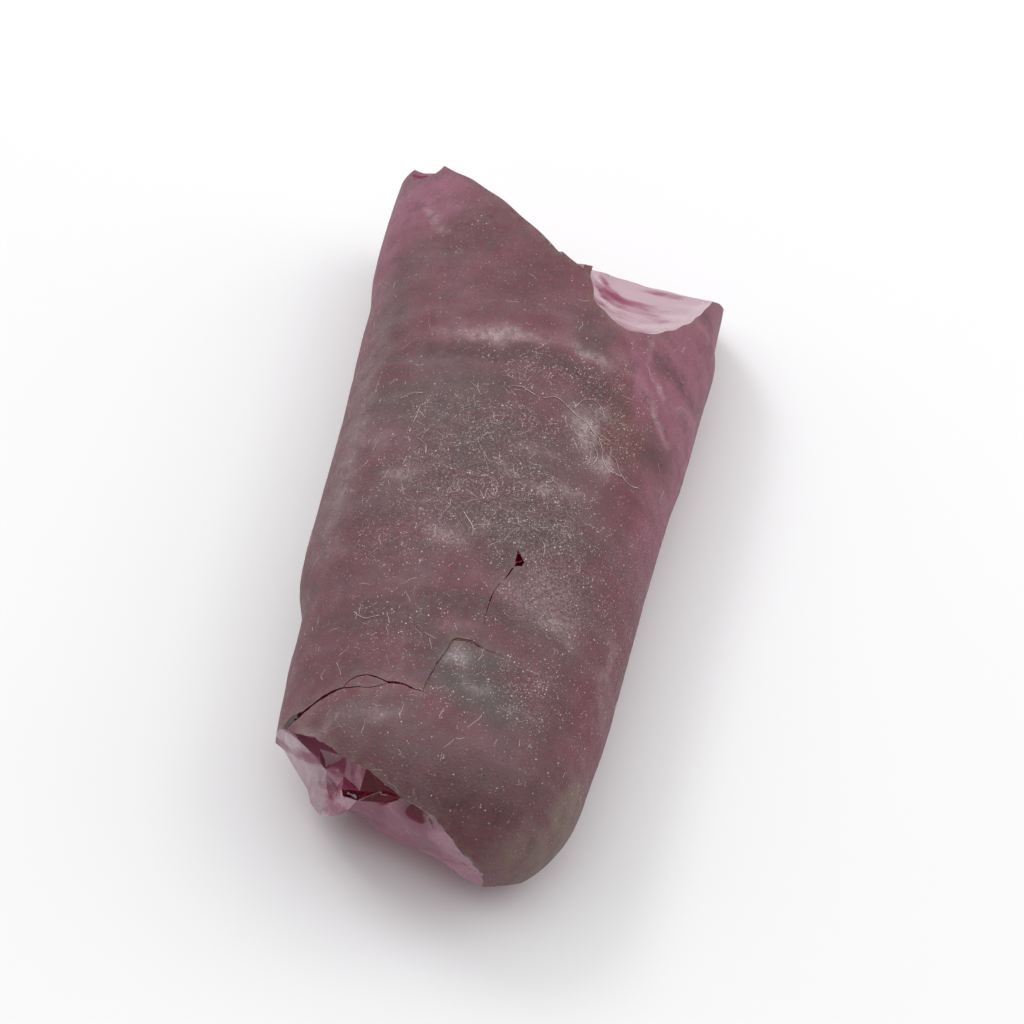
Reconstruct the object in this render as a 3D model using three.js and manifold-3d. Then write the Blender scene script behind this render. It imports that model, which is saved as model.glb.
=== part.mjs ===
// A raw ruby crystal: one broken length of a grown ruby rod, split along its length so that it lies on a flat
// face. The rod's frosted skin is a D-shaped loft along Y that rounds off at the near end (-Y). Both ends are
// broken: the far end (+Y) in steps with a shell-shaped scoop beside them, the near end in one faceted break
// with a lip.
// Millimetres, +Z up. The origin is at the middle of the bounding box, on the flat face that it rests on.
import * as THREE from "three";
import { mergeVertices } from "three/addons/utils/BufferGeometryUtils.js";
import Module from "manifold-3d";

const wasm = await Module();
wasm.setup();

// Driving dimensions of the whole rod, before its ends break off.
const CROWN_HEIGHT = 11.2; // top of the skin above the flat face
const WIDEST_HEIGHT = 4.4; // where the rod is widest
const UNDER_RADIUS = 5.4; // how far the skin would go on below the widest height, before the split
const FAR_REACH = 27.5; // where the unbroken rod stops, beyond the far break
const DOME_START = -16.5; // where the near end starts to round off
const DOME_TIP = -23.1;
const DOME_POWER = 2.2;
const DOME_CENTRE_X = 1.2;
const SECTION_POWER = 2.35; // 2 is an ellipse, more is squarer
const CLOSING_SHARE = 0.985; // share of the stations along the rod; the last few close its far end
const CROWDING = 1.35; // how much the stations crowd towards the dome's tip

// The skin's side lines: [y, x] at the widest height. The rod steps in where its growth slowed.
const LEFT_LINE = [
  [-23.5, -7.6], [-19, -8.9], [-13, -9.5], [-9, -9.62], [-6.4, -10.3], [-2, -10.45],
  [5, -10.5], [11, -10.75], [14, -10.85], [16.4, -11.2], [21, -11.2], [27.5, -11.0],
];
const RIGHT_LINE = [
  [-23.5, 8.0], [-17.5, 8.25], [-12, 8.8], [-6, 9.1], [0, 9.35], [3.6, 9.65],
  [6, 9.95], [11, 10.2], [14.6, 10.35], [15.3, 10.15], [19, 10.1], [27.5, 9.7],
];
// The crown's height along the rod: [y, share of CROWN_HEIGHT].
const CROWN_LINE = [
  [-23.5, 0.97], [-15, 0.985], [-8, 0.975], [-4, 1.0], [4, 0.995],
  [12, 0.975], [15, 0.945], [19, 0.95], [27.5, 0.9],
];
const AROUND = 72; // facets round the skin
const STATIONS = 56; // facets along the skin
const SCAR_AROUND = 32; // facets round a scar
const HALF_SPACE = 80; // size of a block that stands for half of space
const BREAK_SIZE = 56; // width of the slab that a break takes away
const BREAK_DEPTH = 18; // and how far that slab goes outwards
const BREAK_STEPS = 12; // facets across a break

// The far end. The long break runs from the left side to the nub; past the nub is the lower right lobe, with
// a shell-shaped scoop out of its top. Leaning walls along the rod part the three. bow is a break's radius.
const NUB_X = 0.9;
const LOBE_X = 2.4;
const WALL_LEAN = 0.55; // radians from upright
const WALL_OVERLAP = 0.02;
const LONG_BREAK = { at: [-4.6, 20.4, 10.2], facing: [0.55, 0.78, 0.14], bow: 60 };
const NUB_BREAK = { at: [1.5, 15.75, 10.5], facing: [0.54, 0.8, 0.26], bow: 60 };
const LEFT_END = { at: [-10.6, 23.5, 6.6], facing: [0.1, 0.98, -0.1], bow: 45 };
const LOBE_END = { at: [6.0, 18.45, 6.0], facing: [0.09, 0.83, 0.53], bow: 200 };
const SCOOP = { at: [7.8, 24.0, 8.0], facing: [0.04, 0.15, 1], radii: [5.1, 12.9, 3.35] };
const CORNER_CHIP = { at: [-9.5, 23.2, 9.0], facing: [0, 1, 0.2], radii: [1.5, 1.7, 1.2] };

// The near end is one faceted break. Each column of its map gives three corners, [across, height, out]: on
// the skin's edge, at the foot of the deep facets and on the lip below them. The lip stands out at the left and
// the break runs back under it to the flat face.
const NEAR_AT = [-4.45, -19.4, 0];
const NEAR_FACING = [-0.51, -0.86, 0];
const NEAR_MAP = [
  [[-9.0, 7.5, 0.3], [-8.5, 6.0, 0.2], [-8.0, 5.4, 0.1]],
  [[-5.3, 7.1, 0.28], [-4.7, 6.8, -0.05], [-4.8, 4.9, 0.1]],
  [[-3.4, 8.5, 0.33], [-3.6, 6.9, -0.15], [-3.9, 4.4, 0.3]],
  [[-1.9, 9.4, 0.1], [-2.5, 5.8, -0.4], [-2.8, 3.4, 0.45]],
  [[0.17, 9.7, 0.11], [-1.6, 4.8, -0.4], [-1.6, 2.2, 0.75]],
  [[0.9, 9.8, -0.03], [-0.6, 4.9, -0.25], [-0.2, 3.85, 0.8]],
  [[1.68, 9.76, -0.11], [0.6, 5.6, -0.1], [0.43, 4.6, 0.5]],
  [[4.18, 9.18, -0.32], [2.1, 5.8, -1.1], [1.1, 4.1, 0.0]],
  [[5.29, 8.94, -0.69], [3.6, 6.2, -0.9], [3.58, 3.48, -0.5]],
  [[6.69, 8.06, -0.81], [5.4, 6.5, -0.8], [6.03, 4.03, -0.95]],
  [[8.68, 5.42, -1.3], [8.3, 4.8, -1.3], [8.05, 3.72, -1.25]],
  [[13.0, 4.6, -2.3], [13.0, 4.3, -2.2], [13.0, 3.9, -2.2]],
];
const NEAR_SLOPE_BACK = 0.98; // how far the break runs back for each millimetre below the lip
const NEAR_TOP = 16;
const NEAR_BOTTOM = -3;
const NEAR_DEPTH = 14;
const LEFT_FLAKE = { at: [-10.6, -18.2, 1.6], facing: [-0.8, -0.5, -0.4], radii: [2.8, 2.2, 1.4] };

// A smooth line through [position, value] pairs, read at a position.
function along(line, at) {
  const last = line.length - 1;
  if (at <= line[0][0]) return line[0][1];
  if (at >= line[last][0]) return line[last][1];
  const i = line.findIndex((pair) => pair[0] > at) - 1;
  const slope = (k) => {
    const a = line[Math.max(k - 1, 0)];
    const b = line[Math.min(k + 1, last)];
    return (b[1] - a[1]) / (b[0] - a[0]);
  };
  const [x0, y0] = line[i];
  const [x1, y1] = line[i + 1];
  const run = x1 - x0;
  const t = (at - x0) / run;
  const s = t * t * (3 - 2 * t);
  return y0 + (y1 - y0) * s + run * t * (1 - t) * (slope(i) * (1 - t) - slope(i + 1) * t);
}

// How much of its full section the rod keeps at y: 1 along the rod, falling to 0 at the dome's tip.
function domeShare(y) {
  if (y >= DOME_START) return 1;
  const run = Math.min((DOME_START - y) / (DOME_START - DOME_TIP), 1);
  return Math.pow(1 - Math.pow(run, DOME_POWER), 1 / DOME_POWER);
}

// A point of the skin: y along the rod, turn round it from +X over the crown.
function skinPoint(y, turn) {
  const share = domeShare(y);
  const left = along(LEFT_LINE, y);
  const right = along(RIGHT_LINE, y);
  const middle = (left + right) / 2;
  const centre = DOME_CENTRE_X + (middle - DOME_CENTRE_X) * share;
  const across = Math.cos(turn);
  const up = Math.sin(turn);
  const squared = (value) => Math.sign(value) * Math.pow(Math.abs(value), 2 / SECTION_POWER);
  const rise = up > 0 ? along(CROWN_LINE, y) * CROWN_HEIGHT - WIDEST_HEIGHT : UNDER_RADIUS;
  return new THREE.Vector3(
    centre + ((right - left) / 2) * share * squared(across),
    y,
    WIDEST_HEIGHT + rise * share * squared(up),
  );
}

// The whole rod's skin: a sphere's grid, with its poles along Y, pulled out to the skin.
function rodGeometry() {
  const geometry = new THREE.SphereGeometry(1, AROUND, STATIONS);
  const places = geometry.getAttribute("position");
  const columns = AROUND + 1;
  for (let i = 0; i < places.count; i++) {
    const row = Math.floor(i / columns);
    const turn = ((i % columns) / AROUND) * 2 * Math.PI;
    const run = row / STATIONS;
    const y = DOME_TIP + (FAR_REACH - DOME_TIP) * Math.pow(Math.min(run / CLOSING_SHARE, 1), CROWDING);
    const p = skinPoint(y, turn);
    if (row === STATIONS) p.set(0, FAR_REACH, WIDEST_HEIGHT);
    places.setXYZ(i, p.x, p.y, p.z);
  }
  return geometry;
}

// A geometry as a solid.
function solid(geometry) {
  const bare = geometry.clone();
  bare.deleteAttribute("normal");
  bare.deleteAttribute("uv");
  const merged = mergeVertices(bare, 1e-4);
  const mesh = new wasm.Mesh({
    numProp: 3,
    vertProperties: merged.getAttribute("position").array,
    triVerts: new Uint32Array(merged.index.array),
  });
  return new wasm.Manifold(mesh);
}

// Turns a geometry's own +Z to face along a direction, with its own X level, and puts its origin at a point.
function placed(geometry, at, facing) {
  const out = new THREE.Vector3(...facing).normalize();
  const level = new THREE.Vector3(-out.y, out.x, 0).normalize();
  const upright = new THREE.Vector3().crossVectors(out, level);
  const place = new THREE.Matrix4().makeBasis(level, upright, out).setPosition(...at);
  return geometry.applyMatrix4(place);
}

// What a break takes away: a slab whose broken face passes through a point and faces back along its normal.
function breakAway({ at, facing, bow }) {
  const geometry = new THREE.BoxGeometry(BREAK_SIZE, BREAK_SIZE, BREAK_DEPTH, BREAK_STEPS, BREAK_STEPS, 1);
  geometry.translate(0, 0, BREAK_DEPTH / 2);
  const places = geometry.getAttribute("position");
  for (let i = 0; i < places.count; i++) {
    const onFace = places.getZ(i) < BREAK_DEPTH / 2;
    const reach = places.getX(i) ** 2 + places.getY(i) ** 2;
    if (onFace) places.setZ(i, -reach / (2 * bow));
  }
  return solid(placed(geometry, at, facing));
}

// What a shell-shaped scar takes away: an egg with its own radii level, upright and along the way it faces.
function scarAway({ at, facing, radii }) {
  const geometry = new THREE.SphereGeometry(1, SCAR_AROUND, SCAR_AROUND / 2).scale(...radii);
  return solid(placed(geometry, at, facing));
}

// Half of space on one side of a wall along the rod, which leans to the left going down and crosses x at the
// crown. It reaches a little past the wall, so that the halves on its two sides leave no sliver between them.
function besideWall(x, towards) {
  const geometry = new THREE.BoxGeometry(HALF_SPACE, HALF_SPACE, HALF_SPACE);
  geometry.translate(towards * (HALF_SPACE / 2 - WALL_OVERLAP), 0, 0);
  geometry.rotateY(WALL_LEAN).translate(x, 0, CROWN_HEIGHT);
  return solid(geometry);
}

function farEndAway() {
  const beforeLobe = besideWall(LOBE_X, -1);
  const longBreak = breakAway(LONG_BREAK).intersect(besideWall(NUB_X, -1));
  const nubBreak = breakAway(NUB_BREAK).intersect(besideWall(NUB_X, 1)).intersect(beforeLobe);
  const leftEnd = breakAway(LEFT_END).intersect(beforeLobe);
  const lobeEnd = breakAway(LOBE_END).intersect(besideWall(LOBE_X, 1));
  return longBreak.add(nubBreak).add(leftEnd).add(lobeEnd).add(scarAway(SCOOP)).add(scarAway(CORNER_CHIP));
}

// A corner of the near break: column across, row from the bottom, pushed out of the crystal by depth.
function nearCorner(column, row, depth) {
  const [edge, foot, lip] = NEAR_MAP[column];
  const bottom = [lip[0], NEAR_BOTTOM, lip[2] - NEAR_SLOPE_BACK * (lip[1] - NEAR_BOTTOM)];
  const top = [edge[0], NEAR_TOP, edge[2]];
  const [across, height, out] = [bottom, lip, foot, edge, top][row];
  const facing = new THREE.Vector3(...NEAR_FACING).normalize();
  return new THREE.Vector3(-facing.y, facing.x, 0)
    .multiplyScalar(across)
    .addScaledVector(facing, depth > 0 ? depth : out)
    .add(new THREE.Vector3(...NEAR_AT))
    .setZ(height);
}

function nearEndAway() {
  const columns = NEAR_MAP.length - 1;
  const rows = 4;
  const geometry = new THREE.BoxGeometry(columns, rows, 1, columns, rows, 1);
  geometry.translate(columns / 2, rows / 2, 0);
  const places = geometry.getAttribute("position");
  for (let i = 0; i < places.count; i++) {
    const depth = places.getZ(i) > 0 ? NEAR_DEPTH : 0;
    places.setXYZ(i, ...nearCorner(places.getX(i), places.getY(i), depth));
  }
  return solid(geometry).add(scarAway(LEFT_FLAKE));
}

// Everything below the flat face that the rod split along.
function underside() {
  return solid(new THREE.BoxGeometry(HALF_SPACE, HALF_SPACE, HALF_SPACE).translate(0, 0, -HALF_SPACE / 2));
}

function crystalGeometry() {
  const crystal = solid(rodGeometry())
    .subtract(underside())
    .subtract(farEndAway())
    .subtract(nearEndAway());
  const mesh = crystal.getMesh();
  const places = [];
  for (let i = 0; i < mesh.numVert; i++) {
    places.push(...mesh.vertProperties.subarray(i * mesh.numProp, i * mesh.numProp + 3));
  }
  const geometry = new THREE.BufferGeometry();
  geometry.setAttribute("position", new THREE.Float32BufferAttribute(places, 3));
  geometry.setIndex([...mesh.triVerts]);
  geometry.computeBoundingBox();
  const middle = geometry.boundingBox.getCenter(new THREE.Vector3());
  return geometry.translate(-middle.x, -middle.y, -geometry.boundingBox.min.z);
}

const rubyMaterial = new THREE.MeshStandardMaterial({ color: 0x7a4a58, roughness: 0.6, metalness: 0 });

const crystal = new THREE.Mesh(crystalGeometry(), rubyMaterial);
crystal.name = "ruby_crystal";

const group = new THREE.Group();
group.add(crystal);
export default group;
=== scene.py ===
"""The looks of a raw ruby crystal: a broken length of grown rod with a frosted skin and glassy breaks.

The crystal is drawn in millimetres in its drawing's own frame, and then put into the row's frame in metres.
"""

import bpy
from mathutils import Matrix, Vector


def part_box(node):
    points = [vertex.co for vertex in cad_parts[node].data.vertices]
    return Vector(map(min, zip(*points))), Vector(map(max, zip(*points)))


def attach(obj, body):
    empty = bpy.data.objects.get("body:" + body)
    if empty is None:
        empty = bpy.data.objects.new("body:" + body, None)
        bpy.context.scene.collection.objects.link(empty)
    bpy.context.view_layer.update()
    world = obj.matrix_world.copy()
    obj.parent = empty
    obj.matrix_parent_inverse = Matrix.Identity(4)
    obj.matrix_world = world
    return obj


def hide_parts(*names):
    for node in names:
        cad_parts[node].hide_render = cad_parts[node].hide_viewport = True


bl_info = {
    "name": "Raw Ruby Crystal",
    "version": (1, 0, 0),
    "blender": (4, 5, 0),
    "location": "3D View > Sidebar > Ruby",
    "description": "Grows a frosted ruby rod, breaks its ends, and sets it on a pale floor",
    "category": "Add Mesh",
}

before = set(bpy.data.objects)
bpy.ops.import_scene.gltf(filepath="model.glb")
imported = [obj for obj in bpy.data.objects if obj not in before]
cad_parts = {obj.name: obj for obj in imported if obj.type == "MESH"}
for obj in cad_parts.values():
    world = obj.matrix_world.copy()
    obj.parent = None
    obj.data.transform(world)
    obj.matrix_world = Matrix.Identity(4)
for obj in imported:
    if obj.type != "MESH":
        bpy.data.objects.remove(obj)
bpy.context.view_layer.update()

import math
from itertools import product

import bmesh
import bpy
import numpy as np
from mathutils import Vector
from mathutils.kdtree import KDTree

NODE = "ruby_crystal"
BOX_LOW, BOX_HIGH = (np.array(corner, dtype=float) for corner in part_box(NODE))

RUBY_IOR = 1.76
RUBY_SPECULAR = 0.3
SHARP_ANGLE = math.radians(32)  # edges sharper than this stay crisp
FLOOR_REACH = 1.5
FLOOR_GAP = 0.00005  # the floor lies this far under the stone, so that light can pass between them
AIM_OFFSET = (1.10, 0.46, -0.11)  # where the camera aims, from the middle of the box, in drawing millimetres
# Each light's size, the way to it from the crystal, and its distance, in metres.
LIGHTS = {
    "top": (1.6, (0.0, 0.3, 1), 0.9),
    "side": (1.2, (-1, 0.3, 0.5), 0.9),
    "fill": (0.6, (0.85, 0.2, 0.6), 0.7),
    "spark": (0.16, (-0.5, 0.45, 0.74), 0.6),
}

# The drawing. Its numbers are millimetres on a crystal of DRAWN_LENGTH; MM is what one of them is in the row.
DRAWN_LENGTH = 46.209
DRAWN_MIDDLE = (-0.444, 0.404)  # where the middle of the crystal's box is in the drawing
MM = (BOX_HIGH[1] - BOX_LOW[1]) / DRAWN_LENGTH

FAR_OFF = 60  # a cutter is drawn out this far, to a point well outside the crystal
SPLIT_REACH = 40  # half the size of the plane that splits the rod along its length

# The rod's skin, before its ends break off.
CROWN_ARC = 36  # how long the skin's seen side is round the rod
UNDER_COLUMNS = 48
TIP_CROWDING = 1.15  # above 1, the skin's points crowd towards the dome
CROWN_HEIGHT = 11.2
WIDEST_HEIGHT = 4.4
UNDER_RADIUS = 5.4
FAR_REACH = 27.5
DOME_START = -16.5
DOME_TIP = -23.1
DOME_POWER = 2.2
DOME_CENTRE_X = 1.2
SECTION_POWER = 2.35
LEFT_LINE = (
    (-23.5, -7.6), (-19, -8.9), (-13, -9.5), (-9, -9.62), (-6.4, -10.3), (-2, -10.45),
    (5, -10.5), (11, -10.75), (14, -10.85), (16.4, -11.2), (21, -11.2), (27.5, -11.0),
)
RIGHT_LINE = (
    (-23.5, 8.0), (-17.5, 8.25), (-12, 8.8), (-6, 9.1), (0, 9.35), (3.6, 9.65),
    (6, 9.95), (11, 10.2), (14.6, 10.35), (15.3, 10.15), (19, 10.1), (27.5, 9.7),
)
CROWN_LINE = (
    (-23.5, 0.97), (-15, 0.985), (-8, 0.975), (-4, 1.0), (4, 0.995),
    (12, 0.975), (15, 0.945), (19, 0.95), (27.5, 0.9),
)

# The far end's breaks: a point on each, the way it faces, and the radius of its bow.
NUB_X = 0.9
LOBE_X = 2.4
WALL_LEAN = 0.55
LONG_BREAK = ((-4.6, 20.4, 10.2), (0.55, 0.78, 0.14), 60)
NUB_BREAK = ((1.5, 15.75, 10.5), (0.54, 0.8, 0.26), 60)
LEFT_END = ((-10.6, 23.5, 6.6), (0.1, 0.98, -0.1), 45)
LOBE_END = ((6.0, 18.45, 6.0), (0.09, 0.83, 0.53), 200)
SCOOP = ((7.8, 24.0, 8.0), (0.04, 0.15, 1), (5.1, 12.9, 3.35))
CORNER_CHIP = ((-9.5, 23.2, 9.0), (0, 1, 0.2), (1.5, 1.7, 1.2))

# The near end's break is a sheet of facets. Each corner is (across, height, out) from NEAR_AT; the first
# letter says where it is: l on the lip, f on the ledge's inner edge, k round the glint, d round the pit, h at
# the back under the skin's edge, e on that edge, and the rest between.
NEAR_AT = (-4.45, -19.4, 0)
NEAR_FACING = (-0.51, -0.86, 0)
NEAR_SLOPE_BACK = 0.98  # how far back the end runs for each millimetre below the lip
NEAR_TOP = 16
NEAR_BOTTOM = -3
BACK_SLOPE_GROUP = 9
ABOVE_EDGE_GROUP = 10
NEAR_SPLITS = 4
NEAR_SMOOTHING = 40
NEAR_CORNERS = {
    "l0": (-9.0, 5.4, 0.1), "l1": (-4.79, 4.88, 0.1), "l2": (-3.93, 4.36, 0.3), "l3": (-2.78, 3.36, 0.45),
    "l3b": (-2.39, 2.35, 0.6), "l4": (-1.63, 2.2, 0.75), "l5": (-0.17, 3.85, 0.8), "l6": (0.43, 4.71, 0.5),
    "l7": (1.06, 4.14, 0.0),
    "l8": (2.43, 3.32, -0.35), "l8b": (3.58, 3.48, -0.5), "l9": (4.79, 3.81, -0.75),
    "l9b": (6.03, 4.03, -0.95), "l10": (7.07, 3.63, -1.1), "l10b": (8.05, 3.72, -1.25),
    "l11": (9.15, 3.83, -1.5), "l12": (13.0, 3.9, -2.2),
    "f0": (-9.0, 6.6, 0.1), "f1": (-4.7, 6.8, -0.05), "f2": (-3.68, 6.94, -0.1), "f3": (-2.49, 5.89, -0.3),
    "f4": (-1.9, 4.85, -0.3), "s1": (-1.14, 4.18, -0.3), "p3": (-1.99, 5.28, -0.38),
    "k1": (-0.29, 5.75, 0.09), "k2": (0.64, 6.0, -0.38), "k3": (0.9, 5.95, 0.14), "k4": (0.06, 5.76, 0.38),
    "d1": (2.11, 5.87, -0.8), "d2": (3.79, 8.19, -0.62), "d3": (2.84, 5.92, -1.55), "v": (5.39, 6.72, -0.75),
    "h1": (-3.76, 7.18, -0.6), "h2": (-2.75, 7.04, -1.2), "h3": (-1.3, 6.39, -1.4), "h4": (0.27, 7.03, -1.37),
    "h5": (1.43, 6.62, -1.63), "h6": (2.74, 6.06, -1.73),
    "e0": (-9.0, 7.5, 0.3), "e1": (-5.3, 7.1, 0.28), "e2": (-3.4, 8.5, 0.33), "e3": (-1.9, 9.4, 0.1),
    "e4": (0.17, 9.7, 0.11), "e5": (1.68, 9.76, -0.11), "e6": (2.83, 9.58, -0.21), "e7": (4.18, 9.18, -0.32),
    "e8": (5.29, 8.94, -0.69), "e9": (6.0, 8.68, -0.87), "e10": (6.69, 8.06, -0.81),
    "e11": (7.62, 7.1, -0.89), "e12": (8.68, 5.42, -1.3), "e13": (13.0, 4.6, -2.3),
}
# Each facet: its group (one group's facets flow together), haze (on the ledge, group 1, partly painted
# reflection of the bright floor), how far its middle is sunk, its corners.
NEAR_FACETS = (
    # the ledge (group 1): high haze, partly milky and partly painted reflection of the bright floor
    (1, 0.7, 0.0, "l0 l1 f1 f0"), (1, 0.8, 0.0, "l1 l2 f2 f1"), (1, 0.8, 0.0, "l2 l3 f3 f2"),
    (1, 0.75, -0.05, "l3 l3b l4 f4 p3 f3"), (1, 0.7, -0.1, "l4 l5 s1 f4"), (1, 0.6, 0.0, "l5 l6 k3 k4 k1 s1"),
    (2, 0.4, 0.1, "f0 f1 e1 e0"), (2, 0.35, 0.0, "f1 f2 h1 e2 e1"),
    (3, 0.3, 0.0, "f2 f3 p3 h3 h2 h1"), (12, 0.25, 0.0, "h1 h2 h3 e4 e3 e2"),
    (4, 0.5, 0.05, "p3 f4 s1 k1 k2 h4 h3"), (13, 0.0, 0.0, "h3 h4 e5 e4"), (5, 0.0, 0.0, "k1 k4 k3 k2"),
    (6, 0.0, 0.0, "k2 k3 d1 d3 h6 h5 h4"), (11, 0.0, 0.0, "h4 h5 h6 d3 d2 e7 e6 e5"),
    (14, 0.0, 0.0, "d1 d2 d3"), (7, 0.36, 0.05, "l6 l7 l8 d1 k3"), (7, 0.36, 0.08, "l8 l8b l9 v d2 d1"),
    (7, 0.36, 0.0, "v e10 e9 e8 e7 d2"), (8, 0.5, 0.06, "l9 l9b l10 l10b e12 e11 e10 v"),
    (8, 0.5, 0.0, "l10b l11 l12 e13 e12"),
)
LEFT_FLAKE = ((-10.6, -18.2, 1.6), (-0.8, -0.5, -0.4), (2.8, 2.2, 1.4))
DENT = ((4.3, 7.4), (0.95, 0.85), 1.3)  # (across, height) of its middle, half lengths and depth
GLINT_AT = (0.3, 5.9)  # the sheet stays smooth round here
CRUMBS_AT = (8.8, 5.0)  # and crumbles here

# Cracks in the skin: (x, y) points along each, then its width and depth at its start and at its end.
CRACKS = (
    (
        (
            (-8.3, -17.45), (-7.7, -16.95), (-7.03, -16.5), (-6.3, -16.02), (-5.6, -15.66), (-4.9, -15.56),
            (-4.5, -15.56),
        ),
        (0.26, 0.9), (0.07, 0.4),
    ),
    (((-9.0, -17.55), (-8.5, -17.2), (-8.0, -16.95), (-7.5, -16.75)), (1.0, 0.8), (0.2, 0.7)),
    (((-4.6, -15.56), (-3.7, -15.5), (-3.1, -15.3), (-2.6, -15.1)), (0.06, 0.35), (0.05, 0.3)),
    (
        (
            (-5.4, -15.62), (-5.1, -15.1), (-4.75, -14.85), (-4.2, -14.73), (-3.6, -14.88), (-3.0, -15.1),
            (-2.6, -15.1),
        ),
        (0.05, 0.3), (0.12, 0.4),
    ),
    (((-2.75, -15.1), (-2.2, -15.12), (-1.6, -15.3), (-1.05, -15.42)), (0.16, 0.5), (0.07, 0.3)),
    (((2.27, -6.5), (2.1, -6.95), (1.93, -7.36)), (0.1, 0.5), (0.05, 0.3)),
    (((1.72, -7.6), (1.55, -8.2), (1.45, -8.9)), (0.035, 0.2), (0.09, 0.4)),
    (((1.45, -8.9), (1.4, -9.7), (1.43, -10.5)), (0.05, 0.25), (0.03, 0.2)),
    (((0.0, -11.78), (0.5, -11.72), (1.0, -11.8), (1.5, -11.95)), (0.06, 0.25), (0.05, 0.2)),
)
CHIP_CORNERS = ((2.25, -5.3), (2.77, -5.98), (2.66, -6.27), (2.49, -6.3), (2.27, -6.38), (2.24, -5.85))
CHIP_DEPTH = 0.45
CHIP_TAPER = 0.55  # how wide the pit's floor is, for 1 at its rim
CRACK_PROUD = 0.3  # how far a crack's cutter stands out of the skin
CRACK_STEP = 0.09
# The shed patch: its outline round a middle point, and how deep it is at each outline point (below 0 is no
# step).
PATCH_MIDDLE = (1.6, -13.6)
PATCH_OUTLINE = (
    (-1.0, -15.5, 0.06), (-0.85, -14.6, 0.08), (-0.62, -13.7, 0.09), (-0.45, -13.0, 0.09),
    (-0.2, -12.3, 0.08), (0.0, -11.8, 0.07), (0.9, -11.7, 0.06), (1.8, -12.0, 0.04), (3.0, -12.3, 0.0),
    (4.0, -13.4, -0.08), (3.8, -15.0, -0.1), (2.0, -16.2, -0.1), (0.4, -16.2, -0.06),
)


# ---- numbers


def smooth_noise(points, size, seed):
    """Smooth noise from -1 to 1 at each point, with lumps of about the given size."""
    cell = np.asarray(points, dtype=float) / size
    base = np.floor(cell).astype(np.int64)
    part = cell - base
    part = part * part * (3 - 2 * part)
    total = np.zeros(cell.shape[:-1])
    for corner in product((0, 1), repeat=3):
        at = base + corner
        mixed = at[..., 0] * 73856093 ^ at[..., 1] * 19349663
        mixed = mixed ^ at[..., 2] * 83492791 ^ seed * 2654435761
        mixed = (mixed ^ (mixed >> 13)) * 1274126177
        mixed = (mixed ^ (mixed >> 16)) & 0xFFFFFF
        share = np.prod(np.where(corner, part, 1 - part), axis=-1)
        total += share * (mixed / 0x7FFFFF - 1)
    return total


def rough_noise(points, size, seed, octaves=3):
    """Noise with finer and fainter lumps added to it."""
    return sum(smooth_noise(points, size / 2**k, seed + 17 * k) / 2**k for k in range(octaves)) / 1.6


def hump(distance, reach):
    """1 at no distance, falling smoothly to nothing past the reach."""
    return np.exp(-((distance / reach) ** 2))


def along(line, at):
    """A smooth line through (position, value) pairs, read at positions."""
    places, values = np.array(line, dtype=float).T
    last = len(places) - 1
    before = np.maximum(np.arange(last + 1) - 1, 0)
    after = np.minimum(np.arange(last + 1) + 1, last)
    slope = (values[after] - values[before]) / (places[after] - places[before])
    at = np.clip(at, places[0], places[-1])
    i = np.clip(np.searchsorted(places, at, side="right") - 1, 0, last - 1)
    run = places[i + 1] - places[i]
    t = (at - places[i]) / run
    s = t * t * (3 - 2 * t)
    bend = run * t * (1 - t) * (slope[i] * (1 - t) - slope[i + 1] * t)
    return values[i] + (values[i + 1] - values[i]) * s + bend


def axes_of(facing):
    """The level, upright and outward directions of something that faces a way."""
    out = np.array(facing, dtype=float)
    out /= np.linalg.norm(out)
    level = np.array((-out[1], out[0], 0))
    level /= np.linalg.norm(level)
    return level, np.cross(out, level), out


# ---- the skin's shape


def dome_share(y):
    """How much of its full section the rod keeps at y."""
    run = np.clip((DOME_START - y) / (DOME_START - DOME_TIP), 0, 1)
    return (1 - run**DOME_POWER) ** (1 / DOME_POWER)


def section_at(y):
    """The rod's section at y: its centre's x, its half width, its rise to the crown, and its share."""
    share = dome_share(y)
    left = along(LEFT_LINE, y)
    right = along(RIGHT_LINE, y)
    centre = DOME_CENTRE_X + ((left + right) / 2 - DOME_CENTRE_X) * share
    rise = along(CROWN_LINE, y) * CROWN_HEIGHT - WIDEST_HEIGHT
    return centre, (right - left) / 2 * share, rise * share, share


def skin_point(y, turn):
    """Points of the skin: y along the rod, turn round it from +X over the crown."""
    centre, half, rise, share = section_at(y)
    across = np.cos(turn)
    up = np.sin(turn)
    reach_up = np.where(up > 0, rise, UNDER_RADIUS * share)
    x = centre + half * np.sign(across) * np.abs(across) ** (2 / SECTION_POWER)
    z = WIDEST_HEIGHT + reach_up * np.sign(up) * np.abs(up) ** (2 / SECTION_POWER)
    return np.stack((x, y + 0 * x, z), axis=-1)


def skin_height(x, y):
    """The crown's height over a place in plan."""
    centre, half, rise, _ = section_at(y)
    out = np.clip(np.abs(x - centre) / np.maximum(half, 1e-6), 0, 1)
    return WIDEST_HEIGHT + rise * (1 - out**SECTION_POWER) ** (1 / SECTION_POWER)


def on_skin(x, y):
    """A point of the crown side of the skin and the way it faces."""
    step = 0.05
    z = skin_height(x, y)
    slope_x = (skin_height(x + step, y) - skin_height(x - step, y)) / (2 * step)
    slope_y = (skin_height(x, y + step) - skin_height(x, y - step)) / (2 * step)
    normal = np.array((-slope_x, -slope_y, 1.0))
    return np.array((x, y, z)), normal / np.linalg.norm(normal)


def growth_place(x, y):
    """Where a point lies in the growth bands, which bend towards the near end on the rod's right."""
    return y + 0.022 * np.maximum(x - 1, 0) ** 2


# ---- meshes


def turn_outwards(mesh):
    """Makes a closed mesh's faces point out of it."""
    work = bmesh.new()
    work.from_mesh(mesh)
    bmesh.ops.recalc_face_normals(work, faces=work.faces)
    work.to_mesh(mesh)
    work.free()


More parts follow.
